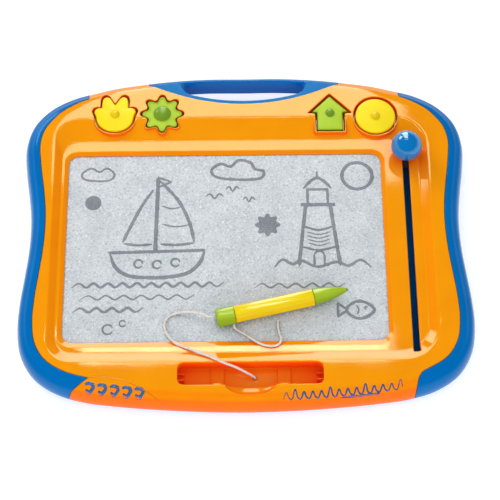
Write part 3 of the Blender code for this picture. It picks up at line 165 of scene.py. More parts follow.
# Tray, slot and stamp pockets
TRAY = mm(-65, 72, -162, -140)
TRAY_FLOOR = 20 * MM
TRAY_CORNER = 7 * MM
TRAY_MIDDLE = mm(3.5, -151)
SADDLE_PLACES = mm(-27.46, 35.28)
SADDLE_HALF = 6 * MM
SADDLE_RISE = 1.2 * MM
TAB_HALF = 3.25 * MM
TAB_SPAN = mm(-0.4, 1.2)
TAB_DROP = 2.3 * MM
RIB_PLACE = 3.08 * MM
RIB_LENGTH = 6 * MM
RIB_HALF = 0.6 * MM
RIB_RISE = 6 * MM
RIB_SINK = 0.3 * MM
NOTCH_SIZE = mm(24, 10, 10)
CORD_HOLE = mm(8, -151)
CORD_HOLE_GAP = 0.8 * MM
CORD_HOLE_DEPTH = 9 * MM
# Fillet at the foot and flare at the rim of each opening
SLOT_ROUNDS = mm(0.1, 0.5)
TRAY_ROUNDS = mm(1.5, 0.7)
POCKET_ROUNDS = mm(0.3, 0.5)
SLOT = mm(157.75, 164.25, -129.5, 88.8)
SLOT_CORNER = 2 * MM
STAMP_PLACES = {
    "paw": mm(-130.6, 131.3), "star": mm(-82.8, 131.3), "house": mm(86.9, 130.4), "circle": mm(132.8, 126.7),
}
STAMP_COLOURS = {"paw": "yellow", "star": "green", "house": "green", "circle": "yellow"}
# Darker copies of the stamps' finishes for their domes: painted shade
DOME_SHADE_FINISHES = {"yellow": "shaded_yellow", "green": "shaded_green"}
STAMP_RADIUS = 20.3 * MM
HOUSE_HALF_WIDTH = 18.4 * MM
POCKET_FLOOR = 25.5 * MM
POCKET_CLEARANCE = 2 * MM
CUP_WALL = 1.2 * MM
CUP_FOOT = 2.2 * MM
CUP_DROP = 0.3 * MM
# Millimetres beyond a cup's wall and under the board's top; for the rim, shares of the wall
CUP_FLARE = ((2.2, 4.6), (1.2, 3.9), (0.5, 2.6), (0.2, 1.2))
CUP_RIM = ((0.9, 0.6), (0.6, 0.3))
STAMP_FOOT = 27.6 * MM
STAMP_TOP = 34.5 * MM
STAR_LOBES = 8
STAR_WAVE = 1.2
PAW_SHARES = (
    (0.00, 0.56), (0.12, 0.72), (0.26, 0.94), (0.43, 1.02), (0.60, 0.92), (0.66, 0.66),
    (0.67, 0.38), (0.82, 0.38), (0.98, 0.30), (1.04, 0.14), (0.95, -0.10), (0.91, -0.34),
    (0.81, -0.58), (0.62, -0.79), (0.34, -0.95), (0.00, -1.00),
)
HOUSE_SHARES = (
    (0.00, 1.00), (-1.00, 0.08), (-0.70, 0.08), (-0.70, -0.96), (0.70, -0.96), (0.70, 0.08), (1.00, 0.08),
)

# Stamp sides, in millimetres beyond the outline and above the foot; the star's dish by its share
STAMP_PROFILE = (
    (-0.3, 0.0), (0.0, 0.3), (0.0, 5.4), (-0.15, 6.0), (-0.55, 6.5), (-1.2, 6.8), (-2.0, 6.9),
)
STAR_DISH = ((0.885, 6.9), (0.86, 6.45), (0.82, 6.4), (0.60, 6.4))
# Radius and height of the domes on top
STAR_DOME = mm(8.5, 4)
PLAIN_DOME = mm(4.5, 3)
DOME_FLARE = 0.5 * MM
DOME_SUNK = mm(1.3, 0.6)
DOME_STEPS = 12

# Screws, knob and pen
SCREW_SIZES = ("Head Radius", "Head Height", "Shank Radius", "Shank Length", "Recess Width")
CASE_SCREW_Z = 7.7 * MM
# Places of the case screws, in shares of the board's half width and half depth
CASE_SCREW_SHARES = (
    (-0.824, 0.62), (-0.136, 0.652), (0.136, 0.652), (0.850, 0.62),
    (-0.747, -0.773), (-0.430, -0.84), (0.475, -0.84), (0.679, -0.79),
)
# Places of the frame's screws along its far and its near side, in shares of the window's half width
FRAME_SCREW_SHARES = ((-0.91, -0.13, 0.38), (-0.80, 0.13, 0.85))
FRAME_SCREW_REACH = 16.5 * MM
FRAME_SCREW_LIFT = 0.75 * MM
# Stepped hole of a case screw, radius and height in millimetres
SCREW_HOLE = ((3.7, -6), (3.7, 0), (3.2, 0.5), (3.2, 9), (1.9, 9), (1.9, 20))
KNOB_PLACE = mm(161, 84.2)
KNOB_RADIUS = 15.25 * MM
KNOB_MIDDLE = 47.45 * MM
KNOB_FOOT = 7 * MM
KNOB_STEPS = 40
# Bores of the knob: radius, lower end, upper end and sides
KNOB_BORES = ((*mm(5.1, 24, 41.6), 32), (*mm(1.4, 41, 44.9), 16))
PEN_PLACE = mm(-28.4, -95.5, 35.6)
PEN_ANGLE = math.radians(12.95)
PEN_BORE = 5.6 * MM
PLUG_RADIUS = PEN_BORE - 0.3 * MM
CAP_LENGTH = 17.5 * MM
CAP_WIDTH = 17.2 * MM
CAP_ROUND = 2.5 * MM
CAP_HOLLOW = mm(8.5, 32.5)
PLUG_LENGTH = 9 * MM
PLUG_OVERLAP = 0.5 * MM
BARREL_WIDTH = 16 * MM
BARREL_ENDS = mm(17.8, 94.8)
# Rims of the barrel, in millimetres off its width and along it
BARREL_RIMS = ((0.9, 0.0), (0.25, 0.15), (0.0, 0.6))
HEXAGON_ROUND = 0.26
CONE_LENGTH = 33 * MM
NIB_HOLE = mm(1.6, 30.7, 45)
CONE_SHARES = ((0.00, 1.00), (0.25, 0.93), (0.50, 0.78), (0.75, 0.55), (0.92, 0.32), (1.00, 0.20))

# Cords, their routes in millimetres
CORD_DIAMETER = 2.3 * MM
CORD_TWIST = {"Strand Reach": 1.08 * MM, "Strand Depth": 0.17 * MM, "Pitch": 5.2 * MM, "Step": 0.6 * MM}
TETHER_ROUTE = (
    (8.0, -151.0, 17.9), (8.0, -151.0, 21.0), (5.4, -150.1, 25.0), (-1.5, -147.4, 28.8),
    (-11.0, -144.3, 33.8), (-20.3, -141.6, 36.9), (-29.5, -137.2, 36.8), (-39.1, -131.6, 34.0),
    (-53.3, -125.2, 31.8), (-63.5, -120.8, 31.7), (-70.4, -114.9, 30.0), (-75.8, -107.0, 28.4),
    (-78.0, -99.0, 28.2), (-75.3, -91.2, 28.2), (-68.0, -87.0, 28.5), (-58.5, -86.0, 29.9),
    (-49.5, -87.2, 32.1), (-41.5, -90.2, 34.2), (-36.2, -93.3, 35.3), (-31.8, -93.9, 35.6),
    (-29.25, -93.3, 35.6),
)
TAIL_ROUTE = (
    (-11.57, -99.6, 31.1), (-10.9, -102.5, 29.6), (-7.5, -105.2, 28.5), (-0.5, -109.4, 28.3),
    (3.6, -113.0, 29.4), (8.6, -117.3, 31.3), (16.0, -121.4, 31.7), (24.5, -122.8, 31.7),
    (30.6, -121.0, 31.7), (33.0, -115.4, 30.8), (31.6, -109.0, 28.7), (30.2, -101.5, 28.2),
    (30.4, -95.0, 28.2),
)


# Helpers for objects and node trees

def link_object(name, data):
    item = bpy.data.objects.new(name, data)
    bpy.context.collection.objects.link(item)
    return item


def feed(tree, socket, value):
    """Link an input to a node or a socket, or set it to a value."""
    if isinstance(value, bpy.types.Node):
        value = value.outputs[0]
    if isinstance(value, bpy.types.NodeSocket):
        tree.links.new(value, socket)
    elif socket.type == 'RGBA':
        socket.default_value = (*value, 1.0)
    else:
        socket.default_value = value


def add_node(tree, kind, inputs=None, **settings):
    """A node with its settings and its inputs, which go by name or number."""
    node = tree.nodes.new(kind)
    for key, value in settings.items():
        setattr(node, key, value)
    for label, value in (inputs or {}).items():
        feed(tree, node.inputs[label], value)
    return node


def new_group(name, kind, sockets):
    """A node group with sockets by label, side and kind, and the outputs of its entry."""
    tree = bpy.data.node_groups.new(name, kind)
    for label, side, content in sockets:
        tree.interface.new_socket(name=label, in_out=side, socket_type=f"NodeSocket{content}")
    return tree, add_node(tree, "NodeGroupInput").outputs


def maths(tree, operation, *values):
    return add_node(tree, "ShaderNodeMath", dict(enumerate(values)), operation=operation).outputs[0]


def times(tree, first, second):
    return maths(tree, 'MULTIPLY', first, second)


def vector_maths(tree, operation, inputs):
    return add_node(tree, "ShaderNodeVectorMath", inputs, operation=operation)


def noise(tree, place, scale, detail=2.0):
    inputs = {"Vector": place, "Scale": scale, "Detail": detail}
    return add_node(tree, "ShaderNodeTexNoise", inputs).outputs["Fac"]


def spread_range(tree, value, low, high, to_low=0.0, to_high=1.0):
    inputs = {"Value": value, "From Min": low, "From Max": high, "To Min": to_low, "To Max": to_high}
    return add_node(tree, "ShaderNodeMapRange", inputs).outputs["Result"]


def blend_colours(tree, amount, first, second):
    return add_node(tree, "ShaderNodeMix", {0: amount, 6: first, 7: second}, data_type='RGBA').outputs[2]


# Camera, light and floor

def make_camera():
    data = bpy.data.cameras.new("board_camera")
    data.lens = CAMERA_LENS
    data.sensor_width = SENSOR_WIDTH
    camera = link_object("board_camera", data)
    x, y = CAMERA_AIM
    away = CAMERA_DISTANCE * math.cos(CAMERA_ELEVATION)
    height = CAMERA_DISTANCE * math.sin(CAMERA_ELEVATION)
    camera.location = Matrix.Rotation(-CAMERA_TURN, 4, 'Z') @ Vector((x, y - away, height))
    camera.rotation_euler = (math.pi / 2 - CAMERA_ELEVATION, 0, -CAMERA_TURN)
    bpy.context.scene.camera = camera
    bpy.context.scene.view_settings.view_transform = 'Standard'


def area_lamp(name, sizes, energy):
    data = bpy.data.lights.new(name, 'AREA')
    data.shape = 'RECTANGLE'
    data.size, data.size_y = sizes
    data.energy = energy
    return link_object(name, data)


def make_panel(name, foot, head, energy):
    """Soft panel behind the board, leaning over it, from the y and z of its lower to its upper edge."""
    foot, head = Vector((PANEL_X, *foot)), Vector((PANEL_X, *head))
    lamp = area_lamp(name, (PANEL_WIDTH, (head - foot).length), energy)
    up = (head - foot).normalized()
    side = Vector((-1, 0, 0))
    turn = Matrix((side, up, side.cross(up))).transposed().to_4x4()
    lamp.matrix_world = Matrix.Translation((foot + head) / 2) @ turn
    lamp.visible_diffuse = False


def make_aimed_lamp(name, place, aim, sizes, energy):
    lamp = area_lamp(name, sizes, energy)
    lamp.location = place
    lamp.rotation_euler = (Vector(aim) - Vector(place)).to_track_quat('-Z', 'Y').to_euler()
    return lamp


def make_lamps():
    """Two panels behind the board with a dark gap between them, a key from the far left, a front fill."""
    make_panel("wall_panel", (1.90, 0.05), (1.070, 1.907), 36)
    make_panel("high_strip", (0.876, 2.341), (0.8395, 2.424), 4.0)
    make_aimed_lamp("far_left_key", (-1.5, 1.85, 1.3), (0, 0, 0), (1.1, 0.8), 24)
    fill = make_aimed_lamp("front_fill", (0, -2.3, 0.85), (0, -0.1, 0), (3.0, 1.2), 20)
    fill.visible_glossy = False


def seen_directly(tree):
    """Mask of the rays that show the background: from the camera, a mirror or through glass."""
    rays = add_node(tree, "ShaderNodeLightPath").outputs
    first = maths(tree, 'MAXIMUM', rays["Is Camera Ray"], rays["Is Glossy Ray"])
    return maths(tree, 'MAXIMUM', first, rays["Is Transmission Ray"])


def make_world():
    """Even room light; camera and reflections see it white at the walls under a dark ceiling."""
    world = bpy.data.worlds.new("white_room")
    world.use_nodes = True
    tree = world.node_tree
    tree.nodes.clear()
    direction = add_node(tree, "ShaderNodeTexCoord").outputs["Generated"]
    parts = add_node(tree, "ShaderNodeSeparateXYZ", {0: direction}).outputs
    walls = spread_range(tree, parts["Z"], 0.12, 0.34, 1.0, CEILING_LIGHT)
    room = add_node(tree, "ShaderNodeBackground", {"Color": WHITE, "Strength": ROOM_LIGHT})
    white = add_node(tree, "ShaderNodeBackground", {"Color": WHITE, "Strength": walls})
    choose = add_node(tree, "ShaderNodeMixShader", {"Fac": seen_directly(tree), 1: room, 2: white})
    add_node(tree, "ShaderNodeOutputWorld", {"Surface": choose})
    bpy.context.scene.world = world


def make_floor():
    mesh = bmesh.new()
    under = Matrix.Translation((0, 0, -0.4 * MM))
    bmesh.ops.create_grid(mesh, x_segments=1, y_segments=1, size=6, matrix=under)
    floor = new_object("studio_floor", mesh)
    material = bpy.data.materials.new("white_floor")
    material.use_nodes = True
    tree = material.node_tree
    tree.nodes.clear()
    paper = add_node(tree, "ShaderNodeBsdfDiffuse", {"Color": (0.8, 0.8, 0.8)})
    level = times(tree, seen_directly(tree), FLOOR_GLOW)
    glow = add_node(tree, "ShaderNodeEmission", {"Strength": level})
    both = add_node(tree, "ShaderNodeAddShader", {0: paper, 1: glow})
    add_node(tree, "ShaderNodeOutputMaterial", {"Surface": both})
    floor.data.materials.append(material)


# Mesh helpers

def shade(data, sharp):
    """Smooth shading that breaks at edges of more than an angle in degrees."""
    data.shade_smooth()
    data.set_sharp_from_angle(angle=math.radians(sharp))


def new_object(name, mesh, material=None):
    data = bpy.data.meshes.new(name)
    mesh.to_mesh(data)
    mesh.free()
    shade(data, SHARP_ANGLE)
    if material is not None:
        data.materials.append(material)
    return link_object(name, data)


def finish_piece(item, material, sharp=SHARP_ANGLE):
    """Shading and material of a piece whose mesh has been cut or joined."""
    item.data.materials.clear()
    item.data.materials.append(material)
    for face in item.data.polygons:
        face.material_index = 0
    shade(item.data, sharp)


def keep_result(item, modifier):
    """Give a piece the mesh that its modifier makes of it."""
    bpy.context.view_layer.update()
    view = bpy.context.evaluated_depsgraph_get()
    result = bpy.data.meshes.new_from_object(item.evaluated_get(view))
    item.modifiers.remove(modifier)
    item.data = result


def settle_normals(item):
    """Let the large flat faces set the normals along their edges."""
    modifier = item.modifiers.new("flat_faces", 'WEIGHTED_NORMAL')
    modifier.keep_sharp = True
    modifier.weight = 80
    keep_result(item, modifier)


def combine(target, mesh, operation):
    """Cut, join or intersect a piece with a mesh."""
    tool = new_object("tool", mesh)
    modifier = target.modifiers.new(operation, 'BOOLEAN')
    modifier.operation = operation
    modifier.object = tool
    keep_result(target, modifier)
    bpy.data.objects.remove(tool)


def add_rings(mesh, rings):
    """A closed skin through rings of points, capped at both ends."""
    rows = [[mesh.verts.new(point) for point in ring] for ring in rings]
    mesh.faces.new(list(reversed(rows[0])))
    mesh.faces.new(rows[-1])
    for low, high in zip(rows, rows[1:]):
        for i in range(len(low)):
            mesh.faces.new((low[i - 1], low[i], high[i], high[i - 1]))


def ring_mesh(rings):
    mesh = bmesh.new()
    add_rings(mesh, rings)
    return mesh


def flat_ring(points, height):
    return [Vector((point.x, point.y, height)) for point in points]


def add_prism(mesh, points, low, high):
    add_rings(mesh, [flat_ring(points, low), flat_ring(points, high)])


def prism(points, low, high):
    return ring_mesh([flat_ring(points, low), flat_ring(points, high)])


def around(x, y, radius, turns):
    return [Vector((x + radius * math.cos(turn), y + radius * math.sin(turn))) for turn in turns]


def circle(x, y, radius, sides):
    return around(x, y, radius, [2 * math.pi * k / sides for k in range(sides)])


def add_posts(mesh, places, radius, low, high, sides):
    for x, y in places:
        add_prism(mesh, circle(x, y, radius, sides), low, high)


def add_turned(mesh, x, y, profile, sides):
    """A turned solid on an upright axis, from (radius, height) pairs, bottom first."""
    add_rings(mesh, [flat_ring(circle(x, y, radius, sides), height) for radius, height in profile])


def flared(outline_at, floor, rim, fillet, flare):
    """A cutter with a rounded foot, whose rim opens out in a small round."""
    part = 0.293
    steps = (
        (-fillet, floor), (-fillet * part, floor + fillet * part), (0, floor + fillet),
        (0, rim - flare), (flare * part, rim - flare * part), (flare, rim), (flare, ABOVE),
    )
    return ring_mesh([flat_ring(outline_at(margin), height) for margin, height in steps])


def offset_points(points, distance, closed=True):
    """Points moved to the left of their own direction by a distance, with mitred corners."""
    count = len(points)
    moved = []
    for i, point in enumerate(points):
        sides = []
        if closed or i > 0:
            sides.append((point - points[i - 1]).normalized())
        if closed or i < count - 1:
            sides.append((points[(i + 1) % count] - point).normalized())
        normals = [Vector((-side.y, side.x)) for side in sides]
        mitre = sum(normals, Vector((0.0, 0.0))).normalized()
        moved.append(point + mitre * distance / max(mitre.dot(normals[0]), 0.4))
    return moved


def bend(start, corner, end, t):
    """A point of the curve that cuts a corner short."""
    return start * (1 - t) ** 2 + corner * 2 * t * (1 - t) + end * t * t


def rounded_corner(before, corner, after, size):
    start = corner + (before - corner).normalized() * size
    end = corner + (after - corner).normalized() * size
    return [bend(start, corner, end, k / CORNER_STEPS) for k in range(CORNER_STEPS + 1)]


def rounded_loop(corners, size):
    points = []
    for i, corner in enumerate(corners):
        points += rounded_corner(corners[i - 1], corner, corners[(i + 1) % len(corners)], size)
    return points


def box_outline(left, right, near, far):
    return [Vector((left, near)), Vector((right, near)), Vector((right, far)), Vector((left, far))]


def rounded_box(edges, corner, margin):
    """A rounded rectangle that grows by a margin."""
    left, right, near, far = edges
    corners = box_outline(left - margin, right + margin, near - margin, far + margin)
    return rounded_loop(corners, corner + margin)


def catmull_rom(before, start, end, after, t):
    return 0.5 * (
        2 * start + (end - before) * t
        + (2 * before - 5 * start + 4 * end - after) * t * t
        + (3 * start - before - 3 * end + after) * t * t * t
    )


def spline(knots, steps):
    """Smooth points from the second knot up to the last but one."""
    points = []
    for before, start, end, after in zip(knots, knots[1:], knots[2:], knots[3:]):
        points += [catmull_rom(before, start, end, after, k / steps) for k in range(steps)]
    return points


def smooth_line(knots, steps):
    """A smooth open curve through the knots."""
    path = [2 * knots[0] - knots[1], *knots, 2 * knots[-1] - knots[-2]]
    return [*spline(path, steps), knots[-1]]


def smooth_loop(knots, steps):
    return spline([knots[-1], *knots, *knots[:2]], steps)


# Outline of the board and the bands inside it

def outline_share(place):
    """Share point on the right half, place 0 at the far middle and 1 at the near middle."""
    if place < 0 or place > 1:
        point = outline_share(-place if place < 0 else 2 - place)
        return Vector((-point.x, point.y))
    last = len(OUTLINE_SHARES) - 1
    knot = min(int(place * last), last - 1)

    def share(index):
        mirrored = index < 0 or index > last
        x, y = OUTLINE_SHARES[abs(index) if index <= last else 2 * last - index]
        return Vector((-x if mirrored else x, y))

    return catmull_rom(*(share(knot + k) for k in (-1, 0, 1, 2)), place * last - knot)


def outline_point(place, side, inset):
    step = 0.01
    scale = Vector((HALF_WIDTH, HALF_DEPTH))
    point = outline_share(place) * scale
    along = (outline_share(place + step) - outline_share(place - step)) * scale
    along.normalize()
    point -= Vector((-along.y, along.x)) * inset
    return Vector((point.x * side, point.y))


def ring_places():
    places = [0.0]
    for start, end, steps in zip(CORNER_KNOTS, CORNER_KNOTS[1:], BLOCK_STEPS):
        places += [(start + (end - start) * (k + 1) / steps) / CORNER_KNOTS[-1] for k in range(steps)]
    return places


def outline_ring(inset):
    """The whole outline moved inwards, counter-clockwise from the far middle."""
    places = ring_places()
    left = [outline_point(place, -1, inset) for place in places]
    right = [outline_point(place, 1, inset) for place in reversed(places[1:-1])]
    return left + right


def half_band(middle, edge, near, far, radius):
    """Half of a rounded rectangle in the outline's steps."""
    reach = radius if edge > middle else -radius
    far_steps, corner_steps, side_steps, _, near_steps = BLOCK_STEPS
    turns = [math.pi / 2 * k / corner_steps for k in range(corner_steps)]
    bend_x, start, end = edge - reach, far - radius, near + radius
    points = [(middle + (bend_x - middle) * k / far_steps, far) for k in range(far_steps)]
    points += [(bend_x + reach * math.sin(turn), far - radius * (1 - math.cos(turn))) for turn in turns]
    points += [(edge, start + (end - start) * k / side_steps) for k in range(side_steps)]
    points += [(bend_x + reach * math.cos(turn), near + radius * (1 - math.sin(turn))) for turn in turns]
    points += [(bend_x + (middle - bend_x) * k / near_steps, near) for k in range(near_steps + 1)]
    return [Vector(point) for point in points]


def band_ring(edges, corners):
    """A rounded rectangle with as many points as the outline, counter-clockwise."""
    left, right, near, far = edges
    middle = (left + right) / 2
    left_half = half_band(middle, left, near, far, corners[0])
    right_half = half_band(middle, right, near, far, corners[1])
    return left_half + right_half[-2:0:-1]


def softened(before, corner, after, size, steps):
    """Rings that round off one ring between its neighbours."""
    rows = [[] for _ in range(steps + 1)]
    for a, c, b in zip(before, corner, after):
        first = c + (a - c).normalized() * min(size, (a - c).length * 0.45)
        last = c + (b - c).normalized() * min(size, (b - c).length * 0.45)
        for k, row in enumerate(rows):
            row.append(bend(first, c, last, k / steps))
    return rows


def edge_knots(shares):
    return [Vector((inset * EDGE_WIDTH, height * BODY_HEIGHT)) for inset, height in shares]


def edge_rows():
    """Rings of the rounded outer edge, from the floor up to the flat top."""
    knots = edge_knots(EDGE_SHARES)
    beyond = Vector((2 * knots[-1].x - knots[-2].x, knots[-2].y))
    profile = spline([2 * knots[0] - knots[1], *knots, beyond], EDGE_STEPS)
    return [flat_ring(outline_ring(point.x), point.y) for point in [*profile, knots[-1]]]


def make_form():
    """Outer form of the closed board with a deep well under the window."""
    edge = edge_rows()
    plateau = flat_ring(band_ring(PLATEAU, PLATEAU_CORNERS), BODY_HEIGHT)
    lip = flat_ring(band_ring(LIP, LIP_CORNERS), LIP_HEIGHT)
    bevel = flat_ring(band_ring(BEVEL, BEVEL_CORNERS), LIP_HEIGHT)
    window = band_ring(WINDOW, WINDOW_CORNERS)
    foot = flat_ring(window, BEVEL_FOOT)
    rings = edge + softened(edge[-1], plateau, lip, *PLATEAU_ROUND)
    rings += softened(plateau, lip, bevel, *LIP_ROUND)
    rings += softened(lip, bevel, foot, *BEVEL_ROUND)
    rings += [foot, flat_ring(window, LIP_UNDERSIDE - WELL_DEPTH)]
    return new_object("form", ring_mesh(rings))


def make_space():
    """Room inside the walls of the board, up to the underside of the lip."""
    inner = offset_points(edge_knots(INNER_EDGE_SHARES), -WALL, closed=False)
    rings = [flat_ring(outline_ring(inner[0].x), WALL)]
    rings += [flat_ring(outline_ring(point.x), point.y) for point in inner[1:]]
    rings.append(flat_ring(band_ring(PLATEAU, PLATEAU_CORNERS), BODY_HEIGHT - WALL))
    rings.append(flat_ring(band_ring(LIP, LIP_CORNERS), LIP_UNDERSIDE))
    return new_object("space", ring_mesh(rings))


def arc_points(radius, half_span, steps):
    limit = math.asin(half_span / radius)
    turns = [limit - 2 * limit * k / steps for k in range(steps + 1)]
    return [Vector((radius * math.sin(turn), SEAM_ARC_Y - radius * math.cos(turn))) for turn in turns]


def outline_place_at(x):
    low, high = 0.0, 1 / 3
    for _ in range(40):
        place = (low + high) / 2
        if outline_point(place, 1, 0).x < x:
            low = place
        else:
            high = place
    return low


def bumper_width(place):
    """Width of a bumper, which narrows at its far tip."""
    ramp = min((place - BUMPER_START) / (BUMPER_FULL - BUMPER_START), 1)
    return BUMPER_WIDTH * (BUMPER_TIP + (1 - BUMPER_TIP) * ramp)


def seam_half(side, inner_end, outer_end, rounding):
    """Edge of the orange cover on one side, from the handle to the near middle."""
    handle_end = outline_place_at(SEAM_HALF_SPAN + SEAM_SPREAD)
    knots = ring_places()
    places = [(start + end) / 2 for start, end in zip(knots, knots[1:])]
    outside = [place for place in places if handle_end < place < BUMPER_START]
    points = [outline_point(place, side, -OVERRUN) for place in [handle_end, *outside, BUMPER_START]]
    inner = []
    tip = BUMPER_START + BUMPER_SLANT
    for place in [tip, *places, inner_end]:
        if tip <= place <= inner_end:
            inner.append(outline_point(place, side, bumper_width(place)))
    outer = outline_point(outer_end, side, -OVERRUN)
    last = inner[-1]
    points += [point for point in inner[:-1] if (point - last).length > rounding]
    points += rounded_corner(inner[-2], last, outer, rounding)
    points.append(outer)
    points += [outline_point(place, side, -OVERRUN) for place in places if place > outer_end]
    return points


def seam_outline():
    """Plan of the orange cover, open to the outside where it reaches the board's edge."""
    left = seam_half(-1, *LEFT_BUMPER_END)
    right = seam_half(1, *RIGHT_BUMPER_END)
    return arc_points(SEAM_ARC_RADIUS, SEAM_HALF_SPAN, SEAM_STEPS) + left + right[::-1]


def near_of_handle():
    """Plan of all that lies on the near side of the handle's seam."""
    x, y = HALF_WIDTH + OVERRUN, HALF_DEPTH + OVERRUN
    end = SEAM_HALF_SPAN + SEAM_SPREAD
    corners = ((-end, y), (-x, y), (-x, -y), (x, -y), (x, y), (end, y))
    seam = arc_points(SEAM_ARC_RADIUS - SEAM_GAP, SEAM_HALF_SPAN, SEAM_STEPS)
    return seam + [Vector(corner) for corner in corners]


def grip_outline(margin):
    """Plan of the finger gap of the handle."""
    near = arc_points(SEAM_ARC_RADIUS - HANDLE_STRIP, GRIP_SPANS[0], GRIP_STEPS)
    far_end = outline_place_at(GRIP_SPANS[1])
    far_places = [far_end * (2 * k / GRIP_STEPS - 1) for k in range(GRIP_STEPS + 1)]
    far = [outline_point(abs(place), -1 if place < 0 else 1, HANDLE_BAR) for place in far_places]
    points = []
    for line, other in ((near, far), (far, near)):
        ends = (line[0], line[-1])
        points += [point for point in line[1:-1] if min((point - end).length for end in ends) > GRIP_CORNER]
        points += rounded_corner(line[-2], line[-1], other[0], GRIP_CORNER)
        points += rounded_corner(line[-1], other[0], other[1], GRIP_CORNER)
    following = points[1:] + points[:1]
    spaced = [point for point, after in zip(points, following) if (after - point).length > 0.3 * MM]
    return offset_points(spaced[::-1], -margin)


# Orange cover and blue base

def star_outline(radius, steps=18):
    points = []
    count = STAR_LOBES * steps
    for k in range(count):
        turn = 2 * math.pi * k / count + math.pi / 2
        wave = math.cos(STAR_LOBES * (turn - math.pi / 2))
        wave = math.sin(STAR_WAVE * wave) / math.sin(STAR_WAVE)
        reach = radius * (0.87 + 0.13 * wave)
        points.append(Vector((reach * math.cos(turn), reach * math.sin(turn))))
    return points


def stamp_outline(name, margin, x, y):
    radius = STAMP_RADIUS + margin
    if name == "paw":
        left = [Vector((-px, py)) * radius for px, py in PAW_SHARES]
        right = [Vector((px, py)) * radius for px, py in reversed(PAW_SHARES[1:-1])]
        points = smooth_loop(left + right, 6)
    elif name == "star":
        points = star_outline(radius)
    elif name == "circle":
        points = circle(0, 0, radius, 96)
    else:
        house = [Vector((px * HOUSE_HALF_WIDTH, py * STAMP_RADIUS)) for px, py in HOUSE_SHARES]
        points = rounded_loop(offset_points(house, -margin), 1.2 * MM + max(margin, 0) / 2)
    return [point + Vector((x, y)) for point in points]


def tray_outline(margin):
    return rounded_box(TRAY, TRAY_CORNER, margin)


def notch_mesh(margin):
    size = Vector([half + margin for half in NOTCH_SIZE])
    matrix = Matrix.Translation((TRAY_MIDDLE[0], TRAY[2], BODY_HEIGHT)) @ Matrix.Diagonal((*size, 1.0))
    mesh = bmesh.new()
    bmesh.ops.create_uvsphere(mesh, u_segments=64, v_segments=40, radius=1, matrix=matrix)
    return mesh


def case_screw_places():
    return [(x * HALF_WIDTH, y * HALF_DEPTH) for x, y in CASE_SCREW_SHARES]


def retainer_screw_places():
    middle = (WINDOW[0] + WINDOW[1]) / 2
    half = (WINDOW[1] - WINDOW[0]) / 2
    far, near = FRAME_SCREW_SHARES
    places = [(middle + share * half, WINDOW[3] + FRAME_SCREW_REACH) for share in far]
    return places + [(middle + share * half, WINDOW[2] - FRAME_SCREW_REACH) for share in near]


def cover_inside():
    """What stands inside the orange cover."""
    bosses = bmesh.new()
    add_posts(bosses, case_screw_places(), *CASE_BOSS, BODY_HEIGHT, 24)
    add_posts(bosses, retainer_screw_places(), *FRAME_BOSS, BODY_HEIGHT, 24)
    return [prism(tray_outline(WALL), TRAY_FLOOR - WALL, BODY_HEIGHT), notch_mesh(WALL), bosses]


def cup_mesh(name, place, drop):
    """Low wall round a stamp pocket, with a soft rim and a foot that flares into the slope."""
    steps = [(CUP_WALL + CUP_FOOT, POCKET_FLOOR - WALL)]
    steps += [(CUP_WALL + reach * MM, BODY_HEIGHT - depth * MM) for reach, depth in CUP_FLARE]
    steps += [(CUP_WALL * share, BODY_HEIGHT - depth * MM) for share, depth in CUP_RIM]
    rings = []
    for margin, height in steps:
        outline = stamp_outline(name, POCKET_CLEARANCE + margin, *place)
        rings.append(flat_ring(outline, height - drop))
    return ring_mesh(rings)


def cover_cuts():
    """Cutters of the orange cover: tray, notch, slot, cord hole and stamp pockets."""
    def slot_outline(margin):
        return rounded_box(SLOT, SLOT_CORNER, margin)

    holes = flared(slot_outline, LIP_UNDERSIDE - OVERRUN, LIP_HEIGHT, *SLOT_ROUNDS)
    hole = circle(*CORD_HOLE, CORD_DIAMETER / 2 + CORD_HOLE_GAP, 32)
    add_prism(holes, hole, TRAY_FLOOR - CORD_HOLE_DEPTH, TRAY_FLOOR + OVERRUN)
    cutters = [flared(tray_outline, TRAY_FLOOR, BODY_HEIGHT, *TRAY_ROUNDS), notch_mesh(0), holes]
    for name, place in STAMP_PLACES.items():
        def pocket_outline(margin, name=name, place=place):
            return stamp_outline(name, POCKET_CLEARANCE + margin, *place)

        cutters.append(flared(pocket_outline, POCKET_FLOOR, BODY_HEIGHT, *POCKET_ROUNDS))
    return cutters


def tray_ribs():
    """Low saddles across the tray, a tab over each, and short ribs at its ends."""
    ribs = bmesh.new()
    left, right, near, far = TRAY
    for x in SADDLE_PLACES:
        saddle = box_outline(x - SADDLE_HALF, x + SADDLE_HALF, near - RIB_SINK, far + RIB_SINK)
        add_prism(ribs, saddle, TRAY_FLOOR - RIB_SINK, TRAY_FLOOR + SADDLE_RISE)
        tab = box_outline(x - TAB_HALF, x + TAB_HALF, near - RIB_SINK + TAB_SPAN[0], near + TAB_SPAN[1])
        add_prism(ribs, tab, BODY_HEIGHT - TAB_DROP, BODY_HEIGHT - RIB_SINK)
    for y in (TRAY_MIDDLE[1] - RIB_PLACE, TRAY_MIDDLE[1] + RIB_PLACE):
        for ends in ((left - RIB_SINK, left + RIB_LENGTH), (right - RIB_LENGTH, right + RIB_SINK)):
            rib = box_outline(*ends, y - RIB_HALF, y + RIB_HALF)
            add_prism(ribs, rib, TRAY_FLOOR - RIB_SINK, TRAY_FLOOR + RIB_RISE)
    return ribs


def copy_of(item, name):
    return link_object(name, item.data.copy())


def as_mesh(item):
    """A throwaway bmesh of a helper object, which is removed."""
    mesh = bmesh.new()
    mesh.from_mesh(item.data)
    bpy.data.objects.remove(item)
    return mesh


